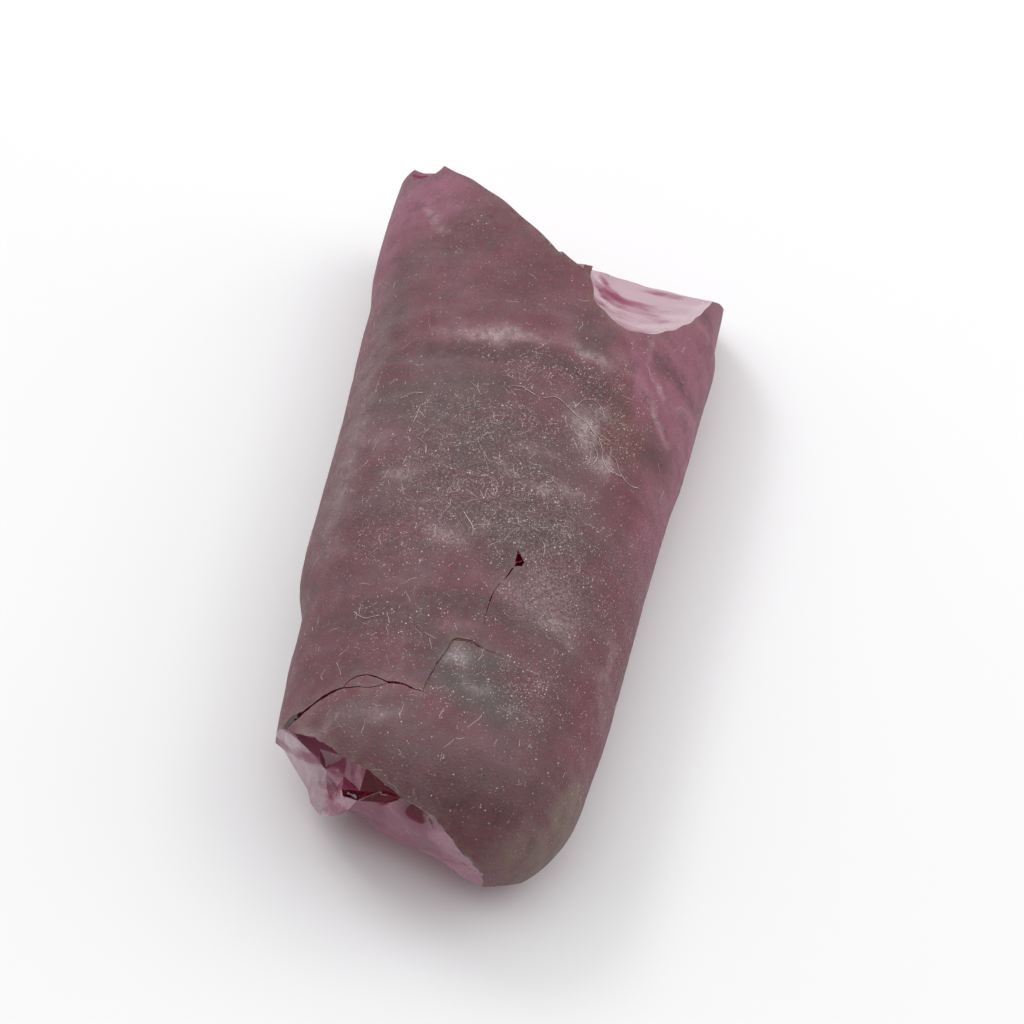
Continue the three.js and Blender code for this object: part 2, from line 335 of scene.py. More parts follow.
def make_solid(name, points, faces, skin, haze, by_face=False):
    """A closed mesh whose corners carry how much they are skin and how hazy they are; on the scoop and the
    near ledge the haze is partly painted reflection.
    """
    mesh = bpy.data.meshes.new(name)
    mesh.from_pydata(points, [], faces)
    turn_outwards(mesh)
    corners = np.empty(len(mesh.loops), dtype=np.int32)
    mesh.loops.foreach_get("vertex_index", corners)
    for key, value in (("skin", skin), ("haze", haze)):
        if np.ndim(value) == 0:
            values = np.full(len(corners), float(value))
        elif by_face:
            values = np.repeat(value, [len(face) for face in faces])
        else:
            values = np.asarray(value)[corners]
        layer = mesh.attributes.new(key, "FLOAT", "CORNER")
        layer.data.foreach_set("value", values.astype(np.float32))
    mesh.update()
    solid = bpy.data.objects.new(name, mesh)
    bpy.context.scene.collection.objects.link(solid)
    return solid


def grid_faces(rows, columns, wrap=False):
    """The faces of a grid of points, row by row; wrap joins its last column to its first."""
    across = columns if wrap else columns - 1
    row, column = np.meshgrid(np.arange(rows - 1), np.arange(across), indexing="ij")
    after = (column + 1) % columns
    here, above = row * columns, (row + 1) * columns
    return np.stack((here + column, here + after, above + after, above + column), axis=-1).reshape(-1, 4)


def capped_tube(name, rings, first, last, skin, haze):
    """A closed mesh of rings of points, with a point at each end."""
    rows, columns = rings.shape[:2]
    points = np.concatenate((rings.reshape(-1, 3), (first, last)))
    start, end = rows * columns, rows * columns + 1
    faces = grid_faces(rows, columns, wrap=True).tolist()
    top = (rows - 1) * columns
    for k in range(columns):
        after = (k + 1) % columns
        faces.append((start, after, k))
        faces.append((end, top + k, top + after))
    return make_solid(name, points, faces, skin, haze)


def tent(name, front, apex, skin, haze):
    """A closed mesh of a grid of points whose border is drawn out to an apex behind it."""
    rows, columns = front.shape[:2]
    points = np.concatenate((front.reshape(-1, 3), (apex,)))
    faces = grid_faces(rows, columns).tolist()
    index = np.arange(rows * columns).reshape(rows, columns)
    border = [int(k) for k in (*index[0, :], *index[1:, -1], *index[-1, -2::-1], *index[-2:0:-1, 0])]
    for a, b in zip(border, border[1:] + border[:1]):
        faces.append((b, a, rows * columns))
    if np.ndim(haze):
        haze = np.append(haze.reshape(-1), 0)
    return make_solid(name, points, faces, skin, haze)


def combine(base, tool, operation):
    """Cuts, joins or intersects base with a tool, which is used up."""
    step = base.modifiers.new(operation.lower(), "BOOLEAN")
    step.operation = operation
    step.object = tool
    step.solver = "MANIFOLD"
    result = bpy.data.meshes.new_from_object(base.evaluated_get(bpy.context.evaluated_depsgraph_get()))
    base.modifiers.clear()
    spent = base.data
    base.data = result
    bpy.data.meshes.remove(spent)
    bpy.data.meshes.remove(tool.data)
    return base


# ---- the rod and its breaks


def skin_relief(points):
    """How far the skin is sunk at each point: growth bands, broad dents and small lumps."""
    x, y, _ = np.moveaxis(points, -1, 0)
    place = growth_place(x, y) + 0.35 * smooth_noise(points, 3.0, 5)
    bands = np.stack((place, 0 * place, 0 * place), axis=-1)
    ribs = 0.5 + 0.5 * rough_noise(bands, 1.7, 11, 3)
    dents = 0.5 + 0.5 * smooth_noise(points * (1, 0.7, 1), 3.4, 21)
    lumps = 0.5 + 0.5 * rough_noise(points, 0.9, 31, 2)
    return 0.05 * ribs + 0.09 * dents + 0.02 * lumps - 0.05


def rod(settings):
    """The whole rod's skin, finest over the crown, where it is seen."""
    fine = settings.fineness
    crown = np.linspace(0, np.pi, int(CROWN_ARC / fine), endpoint=False)
    under = np.linspace(np.pi, 2 * np.pi, UNDER_COLUMNS, endpoint=False)
    turn = np.concatenate((crown, under))
    stations = int((FAR_REACH - DOME_TIP) / fine)
    run = np.linspace(0, 1, stations + 1)[1:-1]
    y = DOME_TIP + (FAR_REACH - DOME_TIP) * run**TIP_CROWDING
    rings = skin_point(y[:, None], turn[None, :])
    along_y = np.gradient(rings, axis=0)
    around = np.gradient(rings, axis=1)
    around[:, 0] = rings[:, 1] - rings[:, -1]
    around[:, -1] = rings[:, 0] - rings[:, -2]
    normal = np.cross(around, along_y)
    normal /= np.linalg.norm(normal, axis=-1, keepdims=True)
    outward = rings - (rings * (0, 1, 0) + (0, 0, WIDEST_HEIGHT))
    normal *= np.sign(np.sum(normal * outward, axis=-1, keepdims=True))
    rings = rings - normal * skin_relief(rings)[..., None] * settings.relief
    tip = (DOME_CENTRE_X, DOME_TIP, WIDEST_HEIGHT)
    end = (0, FAR_REACH, WIDEST_HEIGHT)
    return capped_tube("rod", rings[:, ::-1], tip, end, skin=1, haze=0)


def shell_rings(a, b, spacing, depth):
    """Ripples of a shell-shaped break round the point where it started."""
    reach = np.hypot(a, b)
    return depth * np.sin(2 * np.pi * reach / spacing + 1.5 * np.sin(reach / 3)) * np.minimum(reach / 6, 1)


def break_away(at, facing, bow, seed, rough=0.07, fine=0.25, size=46):
    """What a break takes away: a rippled face whose border is drawn out to a point far off."""
    level, upright, out = axes_of(facing)
    side = np.linspace(-size / 2, size / 2, int(size / fine))
    a, b = np.meshgrid(side, side, indexing="ij")
    height = -(a**2 + b**2) / (2 * bow)
    flat = np.stack((a, b, 0 * a + 7 * seed), axis=-1)
    height += rough * rough_noise(flat, 3.0, seed, 3) + shell_rings(a + 9, b + 6, 1.9, 0.03)
    front = np.array(at) + a[..., None] * level + b[..., None] * upright + height[..., None] * out
    return tent("break", front[:, ::-1], np.array(at) + FAR_OFF * out, skin=0, haze=0.35)


def scar_away(at, facing, radii, seed, haze, fine=0.16, ripple=0.03):
    """What a shell-shaped scar takes away: an egg with rings and streaks in it."""
    level, upright, out = axes_of(facing)
    rows = int(np.pi * max(radii) / fine / 2)
    columns = 2 * rows
    polar = np.linspace(0, np.pi, rows + 1)[1:-1]
    round_it = np.linspace(0, 2 * np.pi, columns, endpoint=False)
    p, q = np.meshgrid(polar, round_it, indexing="ij")
    ball = np.stack((np.sin(p) * np.cos(q), np.sin(p) * np.sin(q), np.cos(p)), axis=-1)
    egg = ball * radii
    stretch = 1 + (ripple / min(radii)) * (
        np.sin(egg[..., 1] * 4.4 + 1.4 * smooth_noise(egg, 2.0, seed))
        + 1.4 * rough_noise(egg * (3.2, 0.5, 3.2), 1.4, seed + 3, 3)
    )
    egg = egg * stretch[..., None]
    rings = np.array(at) + egg[..., :1] * level + egg[..., 1:2] * upright + egg[..., 2:] * out
    poles = [np.array(at) + sign * radii[2] * out for sign in (1, -1)]
    return capped_tube("scar", rings, poles[0], poles[1], skin=0, haze=haze)


def beside_wall(x, towards):
    """Half of space on one side of a leaning wall along the rod that crosses x at the crown."""
    size, overlap = 80, 0.02
    corners = np.array(list(product((-0.5, 0.5), repeat=3))) * size
    corners[:, 0] += towards * (size / 2 - overlap)
    turned = corners.copy()
    turned[:, 0] = corners[:, 0] * math.cos(WALL_LEAN) + corners[:, 2] * math.sin(WALL_LEAN)
    turned[:, 2] = corners[:, 2] * math.cos(WALL_LEAN) - corners[:, 0] * math.sin(WALL_LEAN)
    turned += (x, 0, CROWN_HEIGHT)
    faces = [(0, 1, 3, 2), (4, 6, 7, 5), (0, 4, 5, 1), (2, 3, 7, 6), (0, 2, 6, 4), (1, 5, 7, 3)]
    return make_solid("side", turned, faces, skin=0, haze=0.3)


def break_far_end(crystal):
    """The long break, the nub, the left tip, the lobe's end, the scoop and the corner's chip."""
    long_break = combine(break_away(*LONG_BREAK, seed=41), beside_wall(NUB_X, -1), "INTERSECT")
    nub = combine(break_away(*NUB_BREAK, seed=43, rough=0.15), beside_wall(NUB_X, 1), "INTERSECT")
    nub = combine(nub, beside_wall(LOBE_X, -1), "INTERSECT")
    left_end = combine(break_away(*LEFT_END, seed=45, rough=0.2), beside_wall(LOBE_X, -1), "INTERSECT")
    lobe_end = combine(break_away(*LOBE_END, seed=47), beside_wall(LOBE_X, 1), "INTERSECT")
    # the scoop's high haze makes it pale pink: partly a milky scar, partly painted reflection of the bright
    # room
    scoop = scar_away(*SCOOP, seed=51, haze=0.78, ripple=0.02)
    chip = scar_away(*CORNER_CHIP, seed=53, haze=0.3)
    for cutter in (long_break, nub, left_end, lobe_end, scoop, chip):
        combine(crystal, cutter, "DIFFERENCE")


def near_sheet():
    """The near break's corners and facets, its back slope below the lip and its air above the edge."""
    corners = dict(NEAR_CORNERS)
    facets = list(NEAR_FACETS)
    lips = [key for key in corners if key[0] == "l"]
    edges = [key for key in corners if key[0] == "e"]
    for key in lips:
        across, height, out = corners[key]
        corners["b" + key] = (across, NEAR_BOTTOM, out - NEAR_SLOPE_BACK * (height - NEAR_BOTTOM))
    for key in edges:
        across, _, out = corners[key]
        corners["t" + key] = (across, NEAR_TOP, out)
    for left, right in zip(lips, lips[1:]):
        facets.append((BACK_SLOPE_GROUP, 0.25, 0.0, f"b{left} b{right} {right} {left}"))
    for left, right in zip(edges, edges[1:]):
        facets.append((ABOVE_EDGE_GROUP, 0.1, 0.0, f"{left} {right} t{right} t{left}"))
    return corners, facets


def fan_out(corners, facets):
    """The facets as triangles round a sunk middle: points, triangles, and each triangle's group and haze,
    which on the ledge is partly painted reflection.
    """
    index = {key: k for k, key in enumerate(corners)}
    points = [corners[key] for key in corners]
    triangles, group, haze = [], [], []
    for kind, milk_and_painted_reflection, sunk, names in facets:
        ring = [index[key] for key in names.split()]
        middle = np.mean([points[k] for k in ring], axis=0) - (0, 0, sunk)
        points.append(tuple(middle))
        for a, b in zip(ring, ring[1:] + ring[:1]):
            triangles.append((a, b, len(points) - 1))
            group.append(kind)
            haze.append(milk_and_painted_reflection)
    return np.array(points), np.array(triangles), np.array(group), np.array(haze)


def sides_of(triangles):
    """The sides of triangles, as pairs of points."""
    return np.concatenate((triangles[:, [0, 1]], triangles[:, [1, 2]], triangles[:, [2, 0]]))


def split_in_four(points, triangles, *marks):
    """Splits every triangle in four at the middles of its sides."""
    unique, back = np.unique(np.sort(sides_of(triangles), axis=1), axis=0, return_inverse=True)
    middle = back.reshape(3, -1).T + len(points)
    points = np.concatenate((points, points[unique].mean(axis=1)))
    (a, b, c), (ab, bc, ca) = triangles.T, middle.T
    smaller = np.stack((a, ab, ca, ab, b, bc, ca, bc, c, ab, bc, ca), axis=1).reshape(-1, 3)
    return points, smaller, *(np.repeat(mark, 4) for mark in marks)


def relax(points, triangles, group, turns):
    """Smooths how far out each point is, except on the lines between groups."""
    low = np.full(len(points), 99)
    high = np.full(len(points), -1)
    for k in range(3):
        np.minimum.at(low, triangles[:, k], group)
        np.maximum.at(high, triangles[:, k], group)
    free = (low == high) & (points[:, 1] > NEAR_BOTTOM + 0.01) & (points[:, 1] < NEAR_TOP - 0.01)
    a, b = triangles.ravel(), np.roll(triangles, 1, axis=1).ravel()
    count = np.bincount(a, minlength=len(points)) + np.bincount(b, minlength=len(points))
    for _ in range(turns):
        out = points[:, 2]
        total = np.bincount(a, out[b], len(points)) + np.bincount(b, out[a], len(points))
        points[:, 2] = np.where(free, out * 0.4 + 0.6 * total / count, out)
    return points


def line_gap(places, line):
    """How far each place is from a line of points, in a plane."""
    line = np.array(line)
    best = np.full(len(places), 99.0)
    for a, b in zip(line, line[1:]):
        run = b - a
        share = np.clip((places - a) @ run / (run @ run), 0, 1)
        best = np.minimum(best, np.linalg.norm(places - a - share[:, None] * run, axis=1))
    return best


def break_near_end(crystal):
    """The faceted break with its lip, and the flake off the left side below it."""
    level, _, out = axes_of(NEAR_FACING)
    corners, facets = near_sheet()
    points, triangles, group, haze = fan_out(corners, facets)
    for _ in range(NEAR_SPLITS):
        points, triangles, group, haze = split_in_four(points, triangles, group, haze)
        points = relax(points, triangles, group, NEAR_SMOOTHING)
    dent = hump(np.linalg.norm((points[:, :2] - DENT[0]) / DENT[1], axis=1), 1.0)
    points[:, 2] -= DENT[2] * dent
    middles = np.mean(dent[triangles], axis=1)
    haze = haze * (1 - np.minimum(1.5 * middles, 1))
    flat = points * (1, 1, 0)
    edge = line_gap(points[:, :2], [corners[key][:2] for key in corners if key[0] == "e"])
    calm = hump(np.linalg.norm(points[:, :2] - GLINT_AT, axis=1), 1.2)
    waves = 0.03 * (1 - calm) * rough_noise(flat, 1.1, 61, 3)
    points[:, 2] += waves + 0.09 * hump(edge, 0.35) * rough_noise(flat, 0.45, 63, 2)
    crumbs = hump(np.linalg.norm(points[:, :2] - CRUMBS_AT, axis=1), 0.9)
    points[:, 2] += 0.22 * crumbs * rough_noise(flat, 0.4, 67, 2)
    points[:, 2] += 0.012 * np.sin(8.0 * np.hypot(flat[:, 0] - 3.0, flat[:, 1] - 9.5)) * (points[:, 1] > 3)
    placed = np.array(NEAR_AT) + points[:, :1] * level + points[:, 2:] * out + points[:, 1:2] * (0, 0, 1.0)
    sides = sides_of(triangles)
    ends = np.sort(sides, axis=1)
    _, first, count = np.unique(ends, axis=0, return_index=True, return_counts=True)
    rim = sides[first[count == 1]]
    apex = len(placed)
    behind = np.stack((rim[:, 1], rim[:, 0], np.full(len(rim), apex)), axis=1)
    placed = np.concatenate((placed, [np.array(NEAR_AT) + FAR_OFF * out]))
    haze = np.concatenate((haze, np.zeros(len(rim))))
    faces = np.concatenate((triangles, behind))
    combine(crystal, make_solid("near", placed, faces, skin=0, haze=haze, by_face=True), "DIFFERENCE")
    combine(crystal, scar_away(*LEFT_FLAKE, seed=57, haze=0.3), "DIFFERENCE")


def split_underside(crystal):
    """The flat face that the rod split along."""
    side = np.linspace(-SPLIT_REACH, SPLIT_REACH, 9)
    a, b = np.meshgrid(side, side, indexing="ij")
    front = np.stack((a, b, 0 * a), axis=-1)
    combine(crystal, tent("split", front, (0, 0, -FAR_OFF), skin=0, haze=0.15), "DIFFERENCE")


# ---- cracks, chip and patch


def smooth_path(points, steps):
    """Points along a smooth line through the given ones."""
    points = np.array(points, dtype=float)
    reach = np.concatenate(([0], np.cumsum(np.linalg.norm(np.diff(points, axis=0), axis=1))))
    at = np.linspace(0, reach[-1], steps)
    return np.stack([along(np.stack((reach, column), axis=1), at) for column in points.T], axis=1)


def crack_blade(path, start, end, seed):
    """A thin blade that follows the skin, wide at the top and sharp below."""
    length = np.linalg.norm(np.diff(np.array(path), axis=0), axis=1).sum()
    steps = max(int(length / CRACK_STEP), 8)
    line = smooth_path(path, steps)
    wobble_at = np.insert(line, 2, 0, axis=1)
    line[:, 0] += 0.05 * rough_noise(wobble_at, 0.5, seed, 2)
    line[:, 1] += 0.05 * rough_noise(wobble_at, 0.5, seed + 9, 2)
    share = np.linspace(0, 1, steps)
    width = start[0] + (end[0] - start[0]) * share
    width *= 1 + 0.45 * rough_noise(wobble_at, 0.35, seed + 5, 2)
    depth = start[1] + (end[1] - start[1]) * share
    rings = []
    for k, (x, y) in enumerate(line):
        at, normal = on_skin(x, y)
        ahead = np.append(line[min(k + 1, steps - 1)] - line[max(k - 1, 0)], 0)
        side = np.cross(normal, ahead)
        side /= np.linalg.norm(side)
        half = side * width[k] / 2 * (1 + CRACK_PROUD / depth[k])
        lean = side * 0.25 * depth[k]
        top = at + normal * CRACK_PROUD
        rings.append((top - half, at - normal * depth[k] - lean, top + half))
    rings = np.array(rings)
    return capped_tube("crack", rings, rings[0].mean(axis=0), rings[-1].mean(axis=0), skin=0, haze=0)


def chip_away():
    """The small three-sided pit in the crown."""
    corners = [on_skin(x, y) for x, y in CHIP_CORNERS]
    normal = corners[0][1]
    top = [at + normal * 0.5 for at, _ in corners]
    rim = [at for at, _ in corners]
    middle = np.mean(rim, axis=0)
    floor = []
    for k, at in enumerate(rim):
        floor.append(middle + (at - middle) * CHIP_TAPER - normal * CHIP_DEPTH * (1 + 0.3 * k))
    rings = np.array((top, rim, floor))
    return capped_tube("chip", rings, np.mean(top, axis=0), np.mean(floor, axis=0), skin=0, haze=0)


def patch_away():
    """The thin flake that the skin shed: crisp at its upper left and fading out at its lower right."""
    outline = np.array(PATCH_OUTLINE)
    closed = np.concatenate((outline, outline[:1]))
    edge = smooth_path(closed, 161)[:-1]
    ragged = edge * (1, 1, 0)
    edge[:, 0] += 0.07 * rough_noise(ragged, 0.5, 71, 3)
    edge[:, 1] += 0.07 * rough_noise(ragged, 0.5, 79, 3)
    middle = np.array((*PATCH_MIDDLE, 0.03))
    rings = []
    for share in np.linspace(0.06, 1, 26):
        ring = []
        for x, y, depth in middle + (edge - middle) * share:
            at, normal = on_skin(x, y)
            sunk = skin_relief(at[None])[0]
            ring.append(at - normal * (sunk + depth))
        rings.append(ring)
    at, normal = on_skin(*PATCH_MIDDLE)
    lid = [[on_skin(x, y)[0] + (0, 0, 0.6) for x, y, _ in edge]]
    rings = np.array(rings + lid)
    return capped_tube("patch", rings, at - normal * 0.12, at + (0, 0, 1.5), skin=1, haze=0)


# ---- zones of colour on the skin

# Soft patches of the skin's colour, mostly its finish, with the pale and grey strip on the left flank painted
# sheen: kind, (x, y) of the middle, half lengths along and across, turn in degrees from +X, and strength.
ZONES = (
    # the bare band and the paler one beyond it
    ("pale", (-2.0, 9.4), (3.4, 0.55), 3, 0.6),
    ("pale", (-1.6, 9.3), (1.5, 0.6), 10, 0.5),
    ("pale", (3.7, 9.2), (1.7, 0.5), -22, 0.75),
    ("pale", (6.0, 8.9), (1.6, 0.5), -40, 0.3),
    ("wine", (-2.9, 7.9), (4.2, 0.75), 1, 1.0),
    ("wine", (1.6, 8.2), (2.2, 0.7), -12, 0.7),
    ("wine", (4.0, 7.2), (2.0, 0.8), -25, 0.8),
    ("wine", (-1.0, 14.0), (3.0, 2.2), 60, 0.5),
    ("wine", (-5.0, 17.0), (2.6, 1.6), 40, 0.55),
    # the brown stain on the right
    ("brown", (6.2, 4.4), (2.0, 2.2), 70, 1.0),
    ("brown", (5.2, 7.0), (1.6, 1.2), -30, 0.5),
    ("brown", (2.2, 2.9), (2.0, 0.6), 0, 0.35),
    # grey frost
    ("grey", (-4.6, 4.6), (4.6, 2.4), 4, 0.95),
    ("grey", (0.4, 1.5), (6.0, 2.6), -2, 0.8),
    ("grey", (4.4, 4.6), (1.5, 2.2), 0, 0.8),
    ("grey", (-4.8, -2.0), (4.2, 2.6), 6, 0.55),
    ("grey", (2.4, -3.4), (5.2, 2.6), 0, 0.8),
    ("grey", (5.2, -8.6), (2.6, 3.4), 0, 0.6),
    ("grey", (-5.0, -7.2), (4.0, 1.5), 8, 0.45),
    ("grey", (3.6, 10.2), (1.1, 2.4), 30, 0.7),
    ("grey", (-8.8, 12.0), (1.6, 5.0), 0, 0.6),
    ("grey", (-1.0, -19.0), (5.0, 2.2), -8, 0.6),
    ("grey", (3.4, -20.4), (3.6, 1.6), 20, 0.5),
    ("grey", (-4.0, -17.0), (3.0, 1.0), 12, 0.6),
    # wine where the frost is thin
    ("wine", (-4.2, -10.8), (4.4, 1.5), 6, 0.75),
    ("wine", (1.0, -9.6), (4.0, 1.0), -10, 0.85),
    ("wine", (-1.2, -12.6), (1.2, 2.4), 20, 0.5),
    ("wine", (6.3, -14.4), (1.1, 3.4), 4, 0.6),
    ("wine", (-6.0, -14.2), (3.0, 1.4), 10, 0.5),
    ("wine", (2.8, -20.6), (1.6, 0.9), 20, 0.2),
    ("wine", (1.6, -5.6), (1.2, 1.2), 0, 0.5),
    ("wine", (-0.6, 5.6), (2.6, 0.7), 0, 0.35),
    ("wine", (-1.6, 0.6), (1.4, 1.0), 30, 0.4),
    ("wine", (-6.6, -4.6), (2.2, 1.0), 20, 0.4),
    # whitish blotches
    ("pale", (-5.4, -1.0), (1.2, 0.5), 10, 0.55),
    ("pale", (-7.0, 1.3), (0.8, 0.5), 30, 0.35),
    ("pale", (-1.6, -5.3), (1.3, 0.7), 15, 0.5),
    ("pale", (2.6, -1.0), (0.7, 0.4), 0, 0.6),
    ("pale", (4.3, -0.5), (0.8, 0.5), 0, 0.55),
    ("pale", (0.2, 0.1), (1.0, 0.35), -20, 0.5),
    ("pale", (1.6, 1.5), (1.4, 0.35), 4, 0.45),
    ("pale", (4.2, 3.9), (0.9, 1.4), 10, 0.8),
    ("pale", (4.9, 5.3), (0.5, 0.8), 30, 0.6),
    ("pale", (5.6, 2.0), (0.9, 0.8), 0, 0.7),
    ("pale", (6.2, 2.2), (0.6, 0.5), 0, 0.6),
    ("pale", (5.3, -9.2), (0.9, 0.8), 20, 0.55),
    ("pale", (4.0, -7.6), (2.0, 1.4), 60, 0.4),
    ("pale", (0.35, -13.1), (0.85, 0.55), 45, 0.75),
    ("pale", (1.9, -14.4), (1.0, 0.5), -10, 0.55),
    ("pale", (0.0, -11.2), (1.0, 0.5), 0, 0.4),
    ("pale", (8.2, -10.0), (0.5, 3.0), 6, 0.4),
    ("pale", (-6.6, -18.0), (1.2, 0.5), 15, 0.55),
    ("pale", (-3.0, -17.2), (1.0, 0.4), 0, 0.4),
    # the shed patch
    ("slate", (1.5, -13.8), (2.6, 2.0), -10, 1.0),
    ("slate", (3.0, -15.6), (2.2, 1.6), -20, 0.6),
    ("grey", (6.0, -18.4), (2.2, 3.0), 20, 0.4),
    # where the coat stops, and the clearer stone beyond it
    ("pink", (8.0, 11.5), (2.4, 3.6), 20, 1.0),
    ("pink", (9.6, 6.0), (1.4, 5.0), -4, 0.8),
    ("pink", (-9.0, 20.0), (2.6, 4.0), -30, 0.9),
    ("pink", (-10.2, 14.0), (0.9, 5.0), 0, 0.6),
    ("pink", (8.8, 0.0), (0.8, 5.0), 0, 0.5),
    ("wine", (7.9, 10.2), (1.9, 0.32), -19, 1.0),
    ("wine", (8.6, 4.4), (0.9, 1.2), 0, 0.8),
    ("pale", (7.7, 8.9), (0.9, 0.2), -50, 0.7),
    ("pale", (8.2, 6.7), (1.4, 0.3), -55, 0.7),
    ("pale", (9.4, 8.6), (0.8, 0.25), 60, 0.6),
    ("pale", (6.6, 11.0), (0.25, 0.8), 0, 0.4),
    # painted light: the left flank is made paler and greyer to stand in for its sheen and the light the floor
    # bounces onto it
    ("pale", (-9.0, 2.0), (1.0, 10.0), 2, 0.45),
    ("grey", (-9.2, 2.0), (1.3, 9.0), 2, 0.5),
    ("pale", (-7.6, 18.6), (1.2, 0.25), -60, 0.5),
    ("pale", (-6.6, 17.2), (0.7, 0.3), -50, 0.5),
    # worn and stained rims
    ("tan", (8.2, -18.2), (0.8, 4.0), -22, 1.0),
    ("tan", (6.2, -21.4), (1.8, 1.0), 30, 0.9),
    ("tan", (-1.5, 19.6), (4.0, 0.35), -40, 0.3),
)
# The line, as (y, x) pairs, where the coat stops on the far right.
COAT_EDGE = ((5.0, 6.6), (6.8, 6.45), (8.1, 6.4), (9.2, 6.18), (10.4, 5.67), (11.6, 4.97), (14.0, 3.6))
SALT = (  # where fine white grains lie thickest: as the zones, without their kinds
    ((-1.0, -0.6), (5.0, 2.4), 0, 0.85),
    ((2.0, -3.4), (4.6, 2.6), 0, 0.8),
    ((-1.0, 3.0), (5.0, 2.0), 0, 0.7),
    ((4.6, -6.8), (3.4, 2.6), 0, 0.7),
    ((1.8, 7.4), (4.0, 1.6), 0, 0.7),
    ((2.8, -9.4), (3.0, 1.6), 0, 0.5),
    ((-4.4, -5.0), (3.6, 2.6), 0, 0.5),
    ((5.6, 4.2), (2.0, 2.6), 0, 0.6),
    ((1.4, -14.0), (4.0, 3.0), 0, 0.35),
    ((5.0, -14.0), (2.0, 4.0), 0, 0.4),
    ((-3.2, -11.2), (3.0, 1.6), 0, 0.35),
)
KINDS = ("wine", "brown", "grey", "pale", "slate", "pink", "tan")


def soft_patch(points, middle, reach, turn, strength):
    """How strongly a soft patch colours each point."""
    x = points[:, 0] - middle[0]
    y = points[:, 1] - middle[1]
    c, s = math.cos(math.radians(turn)), math.sin(math.radians(turn))
    u = (x * c + y * s) / reach[0]
    v = (y * c - x * s) / reach[1]
    return strength * np.exp(-((u * u + v * v) ** 1.3))


def covered(at, patches, left=1.0):
    """How much of each point soft patches cover; left is how much of it is bare before them."""
    for patch in patches:
        left = left * (1 - soft_patch(at, *patch))
    return 1 - left


def put_attribute(mesh, name, values):
    """Writes one number for each point."""
    layer = mesh.attributes.get(name) or mesh.attributes.new(name, "FLOAT", "POINT")
    layer.data.foreach_set("value", np.ascontiguousarray(values, dtype=np.float32))


def points_of(mesh):
    """The mesh's points, as rows."""
    flat = np.empty(len(mesh.vertices) * 3, dtype=np.float32)
    mesh.vertices.foreach_get("co", flat)
    return flat.reshape(-1, 3).astype(float)


def move_points(mesh, points):
    """Puts a mesh's points at new places, kept inside the CAD model's box."""
    points = np.clip(points, BOX_LOW, BOX_HIGH)
    mesh.vertices.foreach_set("co", points.astype(np.float32).ravel())
    mesh.update()


def colour_zones(mesh, points):
    """Writes the zones, the salt, the lint, the place in the growth bands and the nearness to a break."""
    warp = np.stack([rough_noise(points, 1.6, 200 + k, 3) for k in range(2)], axis=1)
    at = points[:, :2] + 0.7 * warp
    crown = np.clip((points[:, 2] - 0.5) / 3, 0, 1)
    coat = np.interp(points[:, 1], *zip(*COAT_EDGE))
    beyond = np.clip((points[:, 0] + 0.15 * warp[:, 0] - coat) / 0.3 + 0.5, 0, 1)
    beyond *= np.clip((points[:, 1] - 4.5) / 2.5, 0, 1)
    for kind in KINDS:
        amount = np.minimum(1.3 * covered(at, [zone[1:] for zone in ZONES if zone[0] == kind]), 1)
        amount = np.maximum(amount, 0.85 * beyond) if kind == "pink" else amount
        amount = amount * (1 - 0.85 * beyond) if kind in ("grey", "brown") else amount
        put_attribute(mesh, kind, amount * crown)
    put_attribute(mesh, "salt", covered(at, SALT))
    on_run = (points[:, 1] > LINT_RUN[0]) & (points[:, 1] < LINT_RUN[1])
    put_attribute(mesh, "lint", covered(at, LINT, 1 - LINT_EVERYWHERE) * crown * on_run)
    put_attribute(mesh, "growth", growth_place(points[:, 0], points[:, 1]))

    corners = np.empty(len(mesh.loops), dtype=np.int32)
    mesh.loops.foreach_get("vertex_index", corners)
    skin = np.empty(len(mesh.loops), dtype=np.float32)
    mesh.attributes["skin"].data.foreach_get("value", skin)
    most = np.full(len(points), -1.0)
    least = np.full(len(points), 2.0)
    np.maximum.at(most, corners, skin)
    np.minimum.at(least, corners, skin)
    edge = np.flatnonzero((most > 0.5) & (least < 0.5))
    tree = KDTree(len(edge))
    for k, index in enumerate(edge):
        tree.insert(Vector(points[index]), k)
    tree.balance()
    gap = np.array([tree.find(Vector(p))[2] for p in points])
    put_attribute(mesh, "rim", hump(gap, 0.4))


# ---- materials


